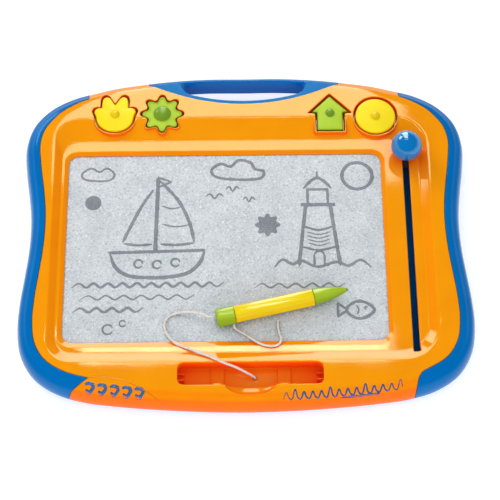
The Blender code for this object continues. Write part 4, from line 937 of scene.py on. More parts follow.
def make_cover(form, space, material):
    seam = seam_outline()
    cover = copy_of(form, "orange_cover")
    combine(cover, prism(offset_points(seam, SEAM_GAP), PARTING_HEIGHT + SEAM_GAP, ABOVE), 'INTERSECT')
    hollow = copy_of(space, "hollow")
    combine(hollow, prism(offset_points(seam, SEAM_GAP + WALL), BELOW, ABOVE), 'INTERSECT')
    for mesh in cover_inside():
        combine(hollow, mesh, 'DIFFERENCE')
    combine(cover, as_mesh(hollow), 'DIFFERENCE')
    for number, (name, place) in enumerate(STAMP_PLACES.items()):
        combine(cover, cup_mesh(name, place, CUP_DROP * (number % 2)), 'UNION')
    for mesh in cover_cuts():
        combine(cover, mesh, 'DIFFERENCE')
    combine(cover, tray_ribs(), 'UNION')
    finish_piece(cover, material, HOUSING_SHARP_ANGLE)
    settle_normals(cover)
    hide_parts("front_housing")
    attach(cover, "board")
    return cover


def base_inside():
    """Screw towers, eraser rails and end guards of the blue base."""
    mesh = bmesh.new()
    radius, top = TOWER
    add_posts(mesh, case_screw_places(), radius, 0, top, 32)
    for x in RAIL_PLACES:
        add_prism(mesh, box_outline(x - RAIL_HALF, x + RAIL_HALF, INNER_NEAR, INNER_FAR), 0, RAIL_TOP)
    for left in GUARD_PLACES:
        add_prism(mesh, box_outline(left, left + GUARD_WIDTH, INNER_NEAR, INNER_FAR), 0, GUARD_TOP)
    return mesh


def handle_lift():
    """Cutter that lifts the bar of the handle off the ground, with slanted ends."""
    low, high = [box_outline(-half, half, LIFT_NEAR, HALF_DEPTH + OVERRUN) for half in LIFT_SPANS]
    return ring_mesh([flat_ring(low, BELOW), flat_ring(low, 0), flat_ring(high, LIFT_HEIGHT)])


def grip_cut():
    """Cutter of the finger gap, opened out at the ground and at the top of the handle."""
    steps = (
        (GRIP_ROUND, BELOW), (GRIP_ROUND, 0), (0, GRIP_ROUND), (0, HANDLE_TOP - GRIP_ROUND),
        (0.35 * MM, HANDLE_TOP - 0.35 * MM), (GRIP_ROUND, HANDLE_TOP), (GRIP_ROUND, ABOVE),
    )
    return ring_mesh([flat_ring(grip_outline(margin), height) for margin, height in steps])


def base_cuts():
    """Stepped screw holes, from the floor up through the towers."""
    mesh = bmesh.new()
    profile = [mm(*step) for step in SCREW_HOLE]
    for x, y in case_screw_places():
        add_turned(mesh, x, y, profile, 32)
    return mesh


def make_base(form, space, material):
    """Blue base: floor, rim, side bumpers and handle, a hair prouder than the cover."""
    base = copy_of(form, "blue_base")
    base.data.transform(Matrix.Diagonal((1.0, 1.0, BASE_STRETCH, 1.0)))
    seam = offset_points(seam_outline(), -SEAM_GAP)
    combine(base, prism(seam, PARTING_HEIGHT - SEAM_GAP, ABOVE), 'DIFFERENCE')
    hollow = copy_of(space, "hollow")
    combine(hollow, prism(near_of_handle(), BELOW, ABOVE), 'INTERSECT')
    combine(hollow, base_inside(), 'DIFFERENCE')
    reach = SEAM_HALF_SPAN + 2 * SEAM_SPREAD
    top = prism(box_outline(-reach, reach, HANDLE_NEAR, HALF_DEPTH + OVERRUN), HANDLE_TOP, ABOVE)
    for mesh in (as_mesh(hollow), top, grip_cut(), handle_lift(), base_cuts()):
        combine(base, mesh, 'DIFFERENCE')
    finish_piece(base, material, HOUSING_SHARP_ANGLE)
    settle_normals(base)
    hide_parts("back_housing")
    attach(base, "board")


# Knob, stamps and pen

def make_knob(material):
    start = math.asin(KNOB_FOOT / KNOB_RADIUS)
    foot = KNOB_MIDDLE - KNOB_RADIUS * math.cos(start)
    profile = [(KNOB_FOOT - 0.6 * MM, foot), (KNOB_FOOT - 0.1 * MM, foot + 0.1 * MM)]
    for k in range(1, KNOB_STEPS + 1):
        turn = start + (math.pi - start) * k / (KNOB_STEPS + 0.25)
        profile.append((KNOB_RADIUS * math.sin(turn), KNOB_MIDDLE - KNOB_RADIUS * math.cos(turn)))
    mesh = bmesh.new()
    add_turned(mesh, *KNOB_PLACE, profile, 72)
    knob = new_object("ball_knob", mesh)
    bore = bmesh.new()
    for radius, low, high, sides in KNOB_BORES:
        add_turned(bore, *KNOB_PLACE, ((radius, low), (radius, high)), sides)
    combine(knob, bore, 'DIFFERENCE')
    finish_piece(knob, material)
    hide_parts("eraser_knob")
    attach(knob, "eraser")


def stamp_rings(name, place):
    """Rings of a stamp's body: small foot chamfer, upright side and rounded top edge."""
    rings = []
    for margin, height in STAMP_PROFILE:
        rings.append(flat_ring(stamp_outline(name, margin * MM, *place), STAMP_FOOT + height * MM))
    if name == "star":
        for scale, height in STAR_DISH:
            points = [point * scale + Vector(place) for point in star_outline(STAMP_RADIUS)]
            rings.append(flat_ring(points, STAMP_FOOT + height * MM))
    return rings


def make_stamp(name, material, dome_shade_material):
    """A stamp with a small dome on top, whose finish is a darker copy of the stamp's own: painted shade on
    the dome.
    """
    place = STAMP_PLACES[name]
    stamp = new_object(f"{name}_stamp", ring_mesh(stamp_rings(name, place)))
    radius, height = STAR_DOME if name == "star" else PLAIN_DOME
    profile = [(radius + DOME_FLARE, STAMP_TOP - sunk) for sunk in DOME_SUNK]
    for k in range(DOME_STEPS + 1):
        turn = math.pi / 2 * k / (DOME_STEPS + 0.4)
        profile.append((radius * math.cos(turn), STAMP_TOP + height * math.sin(turn)))
    dome = bmesh.new()
    add_turned(dome, *place, profile, 48)
    combine(stamp, dome, 'UNION')
    finish_piece(stamp, material)
    # The dome's darker finish is painted shade
    stamp.data.materials.append(dome_shade_material)
    for face in stamp.data.polygons:
        if face.center.z > STAMP_TOP + 0.05 * MM:
            face.material_index = 1
    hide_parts(f"{name}_stamp_body")
    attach(stamp, f"{name}_stamp")


def pen_matrix():
    turn = Matrix.Rotation(PEN_ANGLE, 4, 'Z') @ Matrix.Rotation(math.pi / 2, 4, 'Y')
    return Matrix.Translation(PEN_PLACE) @ turn


def hexagon(width, height):
    """Rounded hexagon across the pen, with a flat towards the screen."""
    reach = width / 2 / math.cos(math.pi / 6)
    corners = around(0, 0, reach, [math.pi / 6 + math.pi / 3 * k for k in range(6)])
    return flat_ring(rounded_loop(corners, reach * HEXAGON_ROUND), height)


def pen_piece(name, rings, tools, material, node):
    """A pen piece from rings along its length, with tools joined to it or cut from it."""
    mesh = ring_mesh(rings)
    mesh.transform(pen_matrix())
    piece = new_object(name, mesh)
    for operation, radius, low, high in tools:
        tool = prism(circle(0, 0, radius, 48), low, high)
        tool.transform(pen_matrix())
        combine(piece, tool, operation)
    finish_piece(piece, material)
    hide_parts(node)
    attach(piece, "pen")


def make_barrel(material):
    start, end = BARREL_ENDS
    rings = [hexagon(BARREL_WIDTH - cut * MM, start + step * MM) for cut, step in BARREL_RIMS]
    rings += [hexagon(BARREL_WIDTH - cut * MM, end - step * MM) for cut, step in BARREL_RIMS[::-1]]
    tools = [('DIFFERENCE', PEN_BORE, start - OVERRUN, end + OVERRUN)]
    pen_piece("pen_barrel_shell", rings, tools, material, "pen_barrel")


def make_end_cap(material):
    rings = []
    for k in range(7):
        turn = math.pi / 2 * k / 6
        width = CAP_WIDTH - 2 * CAP_ROUND * (1 - math.sin(turn))
        rings.append(hexagon(width, CAP_ROUND * (1 - math.cos(turn))))
    rings.append(hexagon(CAP_WIDTH, CAP_LENGTH - 0.4 * MM))
    rings.append(hexagon(CAP_WIDTH - 0.6 * MM, CAP_LENGTH))
    tools = [
        ('UNION', PLUG_RADIUS, CAP_LENGTH - PLUG_OVERLAP, CAP_LENGTH + PLUG_LENGTH),
        ('DIFFERENCE', PEN_BORE - 1.9 * MM, *CAP_HOLLOW),
    ]
    pen_piece("pen_end_cap_shell", rings, tools, material, "pen_end_cap")


def make_tip_cone(material):
    foot = BARREL_ENDS[1] + 0.3 * MM
    wide = BARREL_WIDTH / 2
    knots = [Vector((wide * share, foot + CONE_LENGTH * place)) for place, share in CONE_SHARES]
    profile = [Vector((wide - 0.4 * MM, foot)), Vector((wide, foot + 0.4 * MM))]
    profile += smooth_line(knots, 6)[2:]
    rings = [flat_ring(circle(0, 0, point.x, 48), point.y) for point in profile]
    radius, low, high = NIB_HOLE
    tools = [
        ('UNION', PLUG_RADIUS, foot - PLUG_LENGTH, foot + PLUG_OVERLAP),
        ('DIFFERENCE', radius, foot + low, foot + high),
    ]
    pen_piece("pen_tip_cone_shell", rings, tools, material, "pen_tip_cone")


# Geometry Nodes: cords, drawn lines and screws

def new_tree(name, sizes):
    """A node tree with a mesh, named sizes and a material as inputs, and the sockets that give them."""
    sockets = [("Geometry", 'INPUT', 'Geometry'), *((label, 'INPUT', 'Float') for label in sizes)]
    sockets += [("Material", 'INPUT', 'Material'), ("Geometry", 'OUTPUT', 'Geometry')]
    return new_group(name, 'GeometryNodeTree', sockets)


def end_tree(tree, geometry, material):
    plain = add_node(tree, "GeometryNodeRealizeInstances", {"Geometry": geometry})
    dressed = add_node(tree, "GeometryNodeSetMaterial", {"Geometry": plain, "Material": material})
    add_node(tree, "NodeGroupOutput", {"Geometry": dressed})
    return tree


def apply_tree(item, tree, values):
    """Run a tree on a piece with its inputs set, and keep the result as a plain mesh."""
    modifier = item.modifiers.new(tree.name, 'NODES')
    modifier.node_group = tree
    for socket in tree.interface.items_tree:
        if socket.in_out == 'INPUT' and socket.name in values:
            modifier[socket.identifier] = values[socket.name]
    keep_result(item, modifier)
    return item


def polyline_object(name, lines, widths=None):
    """An object of loose edges along each line, with a width kept at each point."""
    points = [tuple(point) for line in lines for point in line]
    edges = []
    start = 0
    for line in lines:
        edges += [(start + k, start + k + 1) for k in range(len(line) - 1)]
        start += len(line)
    data = bpy.data.meshes.new(name)
    data.from_pydata(points, edges, [])
    if widths is not None:
        attribute = data.attributes.new("width", 'FLOAT', 'POINT')
        attribute.data.foreach_set("value", [value for line in widths for value in line])
    return link_object(name, data)


def spaced_line(tree, size):
    line = add_node(tree, "GeometryNodeMeshToCurve", {"Mesh": size["Geometry"]})
    inputs = {"Curve": line, "Length": size["Step"]}
    return add_node(tree, "GeometryNodeResampleCurve", inputs, mode='LENGTH')


def cord_tree():
    """Twisted cord along a line: three strands that turn once in each pitch."""
    tree, size = new_tree("twisted_cord", CORD_TWIST)
    line = spaced_line(tree, size)
    place = add_node(tree, "GeometryNodeSplineParameter").outputs
    turns = maths(tree, 'DIVIDE', place["Length"], size["Pitch"])
    angle = times(tree, turns, 2 * math.pi)
    twisted = add_node(tree, "GeometryNodeSetCurveTilt", {"Curve": line, "Tilt": angle})
    ring = add_node(tree, "GeometryNodeCurvePrimitiveCircle", {
        "Resolution": 18, "Radius": size["Strand Reach"],
    })
    lobes = maths(tree, 'COSINE', times(tree, place["Factor"], 6 * math.pi))
    depth = times(tree, lobes, size["Strand Depth"])
    reach = maths(tree, 'ADD', depth, size["Strand Reach"])
    where = add_node(tree, "GeometryNodeInputPosition")
    unit = vector_maths(tree, 'NORMALIZE', {0: where})
    scaled = vector_maths(tree, 'SCALE', {0: unit, "Scale": reach})
    strands = add_node(tree, "GeometryNodeSetPosition", {"Geometry": ring, "Position": scaled})
    tube = add_node(tree, "GeometryNodeCurveToMesh", {
        "Curve": twisted, "Profile Curve": strands, "Fill Caps": True,
    })
    smooth = add_node(tree, "GeometryNodeSetShadeSmooth", {"Geometry": tube})
    return end_tree(tree, smooth, size["Material"])


def line_tree():
    """Drawn line: a flat closed ribbon along each line, as wide as its points say, with an uneven edge."""
    tree, size = new_tree("drawn_line", ("Thickness", "Step", "Shake", "Shake Size"))
    line = spaced_line(tree, size)
    grain = add_node(tree, "ShaderNodeTexNoise", {"Scale": size["Shake Size"]}).outputs
    shake = vector_maths(tree, 'SUBTRACT', {0: grain["Color"], 1: (0.5, 0.5, 0.5)})
    level = vector_maths(tree, 'MULTIPLY', {0: shake, 1: (1.0, 1.0, 0.0)})
    offset = vector_maths(tree, 'SCALE', {0: level, "Scale": size["Shake"]})
    moved = add_node(tree, "GeometryNodeSetPosition", {"Geometry": line, "Offset": offset})
    upright = add_node(tree, "GeometryNodeSetCurveNormal", {"Curve": moved}, mode='Z_UP')
    width = add_node(tree, "GeometryNodeInputNamedAttribute", {"Name": "width"}, data_type='FLOAT')
    uneven = spread_range(tree, grain["Fac"], 0.3, 0.7, 0.8, 1.15)
    wide = times(tree, width.outputs["Attribute"], uneven)
    ring = add_node(tree, "GeometryNodeCurvePrimitiveCircle", {"Resolution": 8, "Radius": 0.5})
    squash = add_node(tree, "ShaderNodeCombineXYZ", {"X": 1.0, "Y": size["Thickness"], "Z": 1.0})
    flat = add_node(tree, "GeometryNodeTransform", {"Geometry": ring, "Scale": squash})
    ribbon = add_node(tree, "GeometryNodeCurveToMesh", {
        "Curve": upright, "Profile Curve": flat, "Scale": wide, "Fill Caps": True,
    })
    return end_tree(tree, ribbon, size["Material"])


def screw_tree():
    """Cross-recessed screw at each point, its head at the point and its shank above it."""
    tree, size = new_tree("cross_screws", SCREW_SIZES)
    head = add_node(tree, "GeometryNodeMeshCylinder", {
        "Vertices": 24, "Radius": size["Head Radius"], "Depth": size["Head Height"],
    })
    shank = add_node(tree, "GeometryNodeMeshCylinder", {
        "Vertices": 16, "Radius": size["Shank Radius"], "Depth": size["Shank Length"],
    })
    lift = times(tree, maths(tree, 'ADD', size["Head Height"], size["Shank Length"]), 0.5)
    up = add_node(tree, "ShaderNodeCombineXYZ", {"Z": lift})
    raised = add_node(tree, "GeometryNodeTransform", {"Geometry": shank, "Translation": up})
    down = add_node(tree, "ShaderNodeCombineXYZ", {"Z": times(tree, size["Head Height"], -0.5)})
    cut = add_node(tree, "GeometryNodeMeshBoolean", {"Mesh 1": head}, operation='DIFFERENCE')
    for first, second in (("X", "Y"), ("Y", "X")):
        sides = {first: size["Head Radius"], second: size["Recess Width"], "Z": size["Head Height"]}
        bar = add_node(tree, "GeometryNodeMeshCube", {"Size": add_node(tree, "ShaderNodeCombineXYZ", sides)})
        low = add_node(tree, "GeometryNodeTransform", {"Geometry": bar, "Translation": down})
        feed(tree, cut.inputs["Mesh 2"], low)
    whole = add_node(tree, "GeometryNodeJoinGeometry", {"Geometry": cut})
    feed(tree, whole.inputs["Geometry"], raised)
    screws = add_node(tree, "GeometryNodeInstanceOnPoints", {
        "Points": size["Geometry"], "Instance": whole,
    })
    return end_tree(tree, screws, size["Material"])


def make_cord(name, route, tree, material):
    path = smooth_line([Vector(point) * MM for point in route], 6)
    cord = polyline_object(name, [path])
    return apply_tree(cord, tree, {**CORD_TWIST, "Material": material}), path


def make_cords(material):
    tree = cord_tree()
    tether, path = make_cord("twisted_tether", TETHER_ROUTE, tree, material)
    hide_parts("tether_cord")
    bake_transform(tether)
    tail, path = make_cord("twisted_tail", TAIL_ROUTE, tree, material)
    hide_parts("pen_cord_tail")
    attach(tail, "pen")


def make_screws(material):
    """The hidden screws with crossed recesses, one piece for the case and one for the screen's frame."""
    tree = screw_tree()
    screws = polyline_object("case_screws", [[(x, y, CASE_SCREW_Z)] for x, y in case_screw_places()])
    values = {**dict(zip(SCREW_SIZES, mm(2.8, 2, 1.5, 15.3, 0.6))), "Material": material}
    apply_tree(screws, tree, values)
    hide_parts(*[f"case_screw_{number}" for number in range(1, 9)])
    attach(screws, "board")
    low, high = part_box("retainer_screw_1")
    places = [[(x, y, low.z + FRAME_SCREW_LIFT)] for x, y in retainer_screw_places()]
    screws = polyline_object("retainer_screws", places)
    values.update(zip(SCREW_SIZES, (*mm(2.3, 1.5, 1), high.z - low.z - 1.5 * MM, 0.5 * MM)))
    apply_tree(screws, tree, values)
    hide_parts(*[f"retainer_screw_{number}" for number in range(1, 7)])
    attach(screws, "board")


# Drawing on the screen and printed marks, in millimetres: each line is its width and its points,
# then, where they differ, the steps between points and whether it closes

def drawn(points, width, steps=8, closed=False):
    """A line of the drawing: smooth points and a width that thins a little at its ends."""
    knots = [Vector((x, y, 0.0)) for x, y in points]
    line = smooth_loop(knots, steps) if closed else smooth_line(knots, steps)
    if closed:
        line.append(line[0])
    count = len(line) - 1
    widths = []
    for k in range(count + 1):
        swell = 1.0 if closed else min(1.0, 0.45 + 4 * min(k, count - k) / count)
        widths.append(width * swell * MM)
    return line, widths


def arc(x, y, radius, start, end, count=9):
    turns = [math.radians(start + (end - start) * k / (count - 1)) for k in range(count)]
    return [(x + radius * math.cos(turn), y + radius * math.sin(turn)) for turn in turns]


def straight(*corners):
    """Corner points doubled up, so that a smooth line keeps its corners."""
    points = []
    for (x, y), (to_x, to_y) in zip(corners, corners[1:]):
        points += [(x + (to_x - x) * share, y + (to_y - y) * share) for share in (0.0, 0.04, 0.5, 0.96)]
    return [*points, corners[-1]]


def boat_lines():
    hull = [(-132, -22), (-126, -37), (-112, -46), (-84, -48), (-58, -44), (-45, -33), (-40, -20)]
    portholes = [(1.6, arc(x, y, 4.2, 0, 330)) for x, y in ((-104, -33), (-86, -34), (-68, -32))]
    return [
        (2.8, hull), (2.4, straight((-133, -21), (-40, -19))), (2.8, straight((-88, -20), (-86, 62))),
        (2.4, [(-84, 58), (-66, 36), (-55, 12), (-50, -10)]),
        (2.0, [(-50, -11), (-68, -13), (-83, -12)]),
        (2.4, [(-91, 48), (-103, 28), (-114, 4), (-120, -10)]),
        (2.0, [(-119, -11), (-105, -13), (-91, -12)]),
        (1.6, straight((-86, 62), (-73, 57), (-86, 51))), *portholes,
        (1.2, [(-82, 30), (-72, 27), (-63, 29)]), (1.2, [(-82, 10), (-68, 7), (-54, 9)]),
    ]


def sea_lines():
    lines = []
    rows = ((-58, -168, 11, 14, 1.9), (-71, -160, 7, 17, 1.3), (-84, -166, 5, 15, 1.9), (-60, 8, 6, 16, 1.3))
    for y, x, count, length, width in rows:
        points = []
        for k in range(count):
            points += [(x + k * length, y), (x + (k + 0.5) * length, y + 4.5)]
        lines.append((width, points, 6))
    return lines


def sky_lines():
    cloud = [(-28, 62), (-33, 70), (-24, 77), (-14, 74), (-6, 81), (6, 78), (10, 71), (19, 68), (15, 60),
             (-8, 59)]
    small = [(-158, 60), (-162, 67), (-153, 73), (-145, 69), (-137, 73), (-130, 66), (-136, 59)]
    birds = [
        (1.4, [(x - size, y + 2), (x - size / 2, y + 5), (x, y), (x + size / 2, y + 5), (x + size, y + 2)])
        for x, y, size in ((-30, 38, 9), (-12, 46, 7), (4, 34, 6))
    ]
    sun = arc(112, 62, 15, 0, 360, 17)[:-1]
    return [(2.2, cloud, 6, True), (1.6, small, 6, True), *birds, (2.6, sun, 4, True)]


def lighthouse_lines():
    rocks = [(28, -38), (36, -30), (46, -35), (54, -31), (70, -38), (88, -33), (100, -37), (112, -31),
             (122, -39)]
    lines = [
        (2.6, straight((52, -36), (60, 30))), (2.6, straight((92, -36), (84, 30))),
        (2.8, straight((55, 30), (89, 30))), (2.0, straight((62, 32), (62, 47), (82, 47), (82, 32))),
        (2.4, [(58, 48), (65, 56), (72, 60), (79, 56), (86, 48)]), (1.4, straight((72, 60), (72, 68))),
        (1.8, [(54, -16), (72, -20), (90, -16)]), (1.8, [(57, 6), (72, 2), (87, 6)]), (2.2, rocks),
        (1.6, straight((67, -36), (67, -25))), (1.6, straight((77, -36), (77, -25))),
        (1.6, [(67, -25), (69, -22), (72, -21), (75, -22), (77, -25)]),
    ]
    return lines + [(1.0, [(60 - y * 0.1, y), (72, y - 3), (84 + y * 0.1, y)]) for y in (-12, -8, -4, 0)]


def fish_lines():
    body = [(96, -84), (104, -76), (114, -76), (123, -84), (114, -92), (104, -92)]
    return [
        (2.2, body, 6, True), (1.8, straight((97, -84), (88, -77), (88, -91), (97, -84))),
        (1.2, arc(115, -82, 1.4, 0, 300, 6)), (1.2, [(106, -79), (108, -84), (106, -89)]),
        (1.4, arc(-132, -102, 5, 20, 340)), (1.2, arc(-118, -96, 3, 20, 340)),
    ]


def ribbons(name, lines, height, tree, values, swell=1.0):
    """Flat ribbons along the lines of a drawing, at a height."""
    lines = [drawn(points, width, *rest) for width, points, *rest in lines]
    points = [[Vector((point.x * MM, point.y * MM, height)) for point in line] for line, _ in lines]
    item = polyline_object(name, points, [[width * swell for width in widths] for _, widths in lines])
    return apply_tree(item, tree, values)


def make_drawing(tree, powder):
    """Powder lines of a harbour picture, and two filled stamp prints, on the screen."""
    lines = boat_lines() + sea_lines() + sky_lines() + lighthouse_lines() + fish_lines()
    values = {"Thickness": 0.03, "Step": 0.9 * MM, "Shake": 0.7 * MM, "Shake Size": 260.0,
              "Material": powder}
    drawing = ribbons("powder_drawing", lines, FILM_TOP + 0.03 * MM, tree, values, 1.4)
    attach(drawing, "board")
    star = [point * 0.62 + Vector(mm(22, 8)) for point in star_outline(STAMP_RADIUS, 10)]
    prints = bmesh.new()
    for outline in (star, circle(*mm(-150, 34, 8), 48)):
        add_prism(prints, outline, FILM_TOP - 0.03 * MM, FILM_TOP + 0.06 * MM)
    prints = new_object("stamp_prints", prints, powder)
    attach(prints, "board")


def near_edge(x):
    """Height in the plan of the near edge of the board, in millimetres."""
    return -181 + 0.00049 * x * x


def squiggle_lines():
    """Printed squiggles that spell nothing: bold loops on the left, a thin scrawl on the right."""
    bold = []
    for k in range(5):
        x = -151 + k * 11.6
        y = near_edge(x + 4) + 7.2
        loop = [(x, y + 3.4), (x + 4.2, y + 4.2), (x + 8, y + 1.6), (x + 4, y - 3.2), (x + 0.6, y - 0.6)]
        bold.append((3.3, loop, 6))
    scrawl = []
    for k in range(14):
        x = 34 + k * 8.2
        y = near_edge(x) + 8.2
        scrawl += [(x, y - 3.2), (x + 2.6, y + (5.0 if k % 4 == 1 else 2.4)), (x + 5.0, y - 1.8)]
    under = [(x, near_edge(x) + 3.6) for x in (88, 98, 108, 118, 124)]
    return bold + [(1.5, scrawl, 5), (1.6, under)]


def drape(item, cover, rise):
    """Press a flat piece onto the cover from above."""
    mesh = bmesh.new()
    mesh.from_mesh(cover.data)
    bmesh.ops.triangulate(mesh, faces=mesh.faces)
    skin = BVHTree.FromBMesh(mesh)
    mesh.free()
    for vertex in item.data.vertices:
        place, _, _, _ = skin.ray_cast(Vector((vertex.co.x, vertex.co.y, 0.1)), Vector((0, 0, -1)))
        if place is not None:
            vertex.co.z += place.z + rise


def make_prints(cover, tree, ink, orange):
    values = {"Thickness": 0.03, "Step": 0.8 * MM, "Shake": 0.0, "Shake Size": 200.0, "Material": ink}
    marks = ribbons("printed_squiggles", squiggle_lines(), 0.0, tree, values)
    drape(marks, cover, 0.02 * MM)
    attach(marks, "board")
    edge = [(-163, -160.5), (-155.5, -155.3), (-146.2, -153.7), (-134.1, -153.3), (-118.2, -156.2),
            (-104.1, -161.9), (-90, -169.6), (-82, -175.2)]
    values.update({"Thickness": 0.35, "Material": orange})
    border = ribbons("label_border", [(0.7, edge)], 0.0, tree, values)
    drape(border, cover, 0.0)
    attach(border, "board")


# Shared effects of the finishes

def new_effect(name, colours, numbers, results):
    """A group that takes a place, colours and numbers, and gives results by label and kind."""
    sockets = [("Vector", 'INPUT', 'Vector'), *((label, 'INPUT', 'Color') for label in colours)]
    sockets += [(label, 'INPUT', 'Float') for label in numbers]
    sockets += [(label, 'OUTPUT', kind) for label, kind in results.items()]
    return new_group(name, 'ShaderNodeTree', sockets)


def moulding_effect():
    """Cloudy colour of moulded plastic with a painted light and shade colour in its hollows and on its steep
    walls, and the height of its grain and waves.
    """
    tree, entry = new_effect(
        "moulded_plastic", ("Colour", "Deep Colour", "Painted Light And Shade Colour"),
        ("Hollow Reach", "Wall Shade Share", "Cloud Scale", "Grain Scale", "Grain Height", "Wave Scale",
         "Wave Height"),
        {"Colour": 'Color', "Height": 'Float', "Level": 'Float'},
    )
    place = entry["Vector"]
    cloud = spread_range(tree, noise(tree, place, entry["Cloud Scale"], 4.0), 0.35, 0.7)
    colour = blend_colours(tree, cloud, entry["Colour"], entry["Deep Colour"])
    hollow = add_node(tree, "ShaderNodeAmbientOcclusion", {"Distance": entry["Hollow Reach"]}, samples=8)
    facing = add_node(tree, "ShaderNodeNewGeometry").outputs["Normal"]
    upward = add_node(tree, "ShaderNodeSeparateXYZ", {0: facing}).outputs["Z"]
    wall_shade_share = times(tree, spread_range(tree, upward, 0.97, 0.55), entry["Wall Shade Share"])
    wall = maths(tree, 'SUBTRACT', 1.0, wall_shade_share)
    level = maths(tree, 'SUBTRACT', 1.0, times(tree, wall_shade_share, 1.35))
    # Painted shade: in hollows that ambient occlusion finds, and on steep walls, the colour turns to the
    # painted light and shade colour; steep walls also get a lower gloss level
    unshaded_share = times(tree, spread_range(tree, hollow.outputs["AO"], 0.35, 0.92), wall)
    colour = blend_colours(tree, unshaded_share, entry["Painted Light And Shade Colour"], colour)
    grain = times(tree, noise(tree, place, entry["Grain Scale"], 3.0), entry["Grain Height"])
    wave = times(tree, noise(tree, place, entry["Wave Scale"], 1.0), entry["Wave Height"])
    height = maths(tree, 'ADD', grain, wave)
    add_node(tree, "NodeGroupOutput", {"Colour": colour, "Height": height, "Level": level})
    return tree


def rubbed_edge_effect():
    """Edges rounded for the light, and rubbed paler where hands and the floor touch them."""
    results = {"Colour": 'Color', "Normal": 'Vector'}
    tree, entry = new_effect("rubbed_edges", ("Colour", "Rub Colour"), ("Radius", "Rub"), results)
    rounded = add_node(tree, "ShaderNodeBevel", {"Radius": entry["Radius"]}, samples=4)
    plain = add_node(tree, "ShaderNodeNewGeometry").outputs["Normal"]
    alike = vector_maths(tree, 'DOT_PRODUCT', {0: rounded, 1: plain}).outputs["Value"]
    edge = spread_range(tree, alike, 0.98, 0.80)
    patch = spread_range(tree, noise(tree, entry["Vector"], 60.0, 5.0), 0.42, 0.62)
    mask = times(tree, times(tree, edge, patch), entry["Rub"])
    colour = blend_colours(tree, mask, entry["Colour"], entry["Rub Colour"])
    add_node(tree, "NodeGroupOutput", {"Colour": colour, "Normal": rounded})
    return tree


def handling_effect():
    """Roughness of a handled surface: clean gloss, duller smears and a few fine scratches."""
    tree, entry = new_effect("handling_marks", (), ("Gloss", "Smear", "Scratch"), {"Roughness": 'Float'})
    smear = spread_range(tree, noise(tree, entry["Vector"], 22.0, 5.0), 0.5, 0.75)
    stretch = {"Vector": entry["Vector"], "Rotation": (0.3, 0.2, 0.7), "Scale": (900.0, 22.0, 60.0)}
    stretched = add_node(tree, "ShaderNodeMapping", stretch).outputs["Vector"]
    lines = spread_range(tree, noise(tree, stretched, 1.0), 0.70, 0.78)
    dull = times(tree, smear, entry["Smear"])
    worn = times(tree, lines, entry["Scratch"])
    rough = maths(tree, 'ADD', maths(tree, 'ADD', dull, worn), entry["Gloss"])
    add_node(tree, "NodeGroupOutput", {"Roughness": rough})
    return tree


def speckle_effect():
    """Milky screen of tiny cells with grey and white specks, and painted shade as more dark specks at the
    foot of its rim.
    """
    colours, numbers = ("Colour", "Dark", "Light"), ("Cell Scale", "Speck Scale", "Rim Shade")
    tree, entry = new_effect("powder_specks", colours, numbers, {"Colour": 'Color', "Height": 'Float'})
    place = entry["Vector"]
    inputs = {"Vector": place, "Scale": entry["Cell Scale"]}
    cells = add_node(tree, "ShaderNodeTexVoronoi", inputs, feature='DISTANCE_TO_EDGE')
    walls = spread_range(tree, cells.outputs["Distance"], 0.03, 0.12, 1.0, 0.0)
    cloud = spread_range(tree, noise(tree, place, 45.0, 4.0), 0.35, 0.65, 0.0, 0.45)
    fine = noise(tree, place, entry["Speck Scale"])
    # Painted shade: more dark specks where ambient occlusion finds the foot of the rim
    rim = add_node(tree, "ShaderNodeAmbientOcclusion", {"Distance": 5 * MM}, samples=8).outputs["AO"]
    rim_shade = times(tree, maths(tree, 'SUBTRACT', 1.0, rim), entry["Rim Shade"])
    dark = spread_range(tree, maths(tree, 'SUBTRACT', fine, rim_shade), 0.44, 0.33)
    light = spread_range(tree, fine, 0.60, 0.70)
    colour = entry["Colour"]
    for amount, share, tone in ((cloud, 0.6, "Light"), (walls, 0.10, "Dark"), (dark, 0.55, "Dark"),
                                (light, 0.8, "Light")):
        colour = blend_colours(tree, times(tree, amount, share), colour, entry[tone])
    add_node(tree, "NodeGroupOutput", {"Colour": colour, "Height": walls})
    return tree


# Finishes

def start_material(name):
    material = bpy.data.materials.new(name)
    material.use_nodes = True
    tree = material.node_tree
    return material, tree, add_node(tree, "ShaderNodeTexCoord").outputs["Object"]


def use_effect(tree, effect, place, values):
    return add_node(tree, "ShaderNodeGroup", {"Vector": place, **values}, node_tree=effect).outputs


def bump(tree, height, distance=1.0, **others):
    inputs = {"Strength": 1.0, "Distance": distance, "Height": height, **others}
    return add_node(tree, "ShaderNodeBump", inputs)


def set_shader(tree, values):
    for label, value in values.items():
        feed(tree, tree.nodes["Principled BSDF"].inputs[label], value)


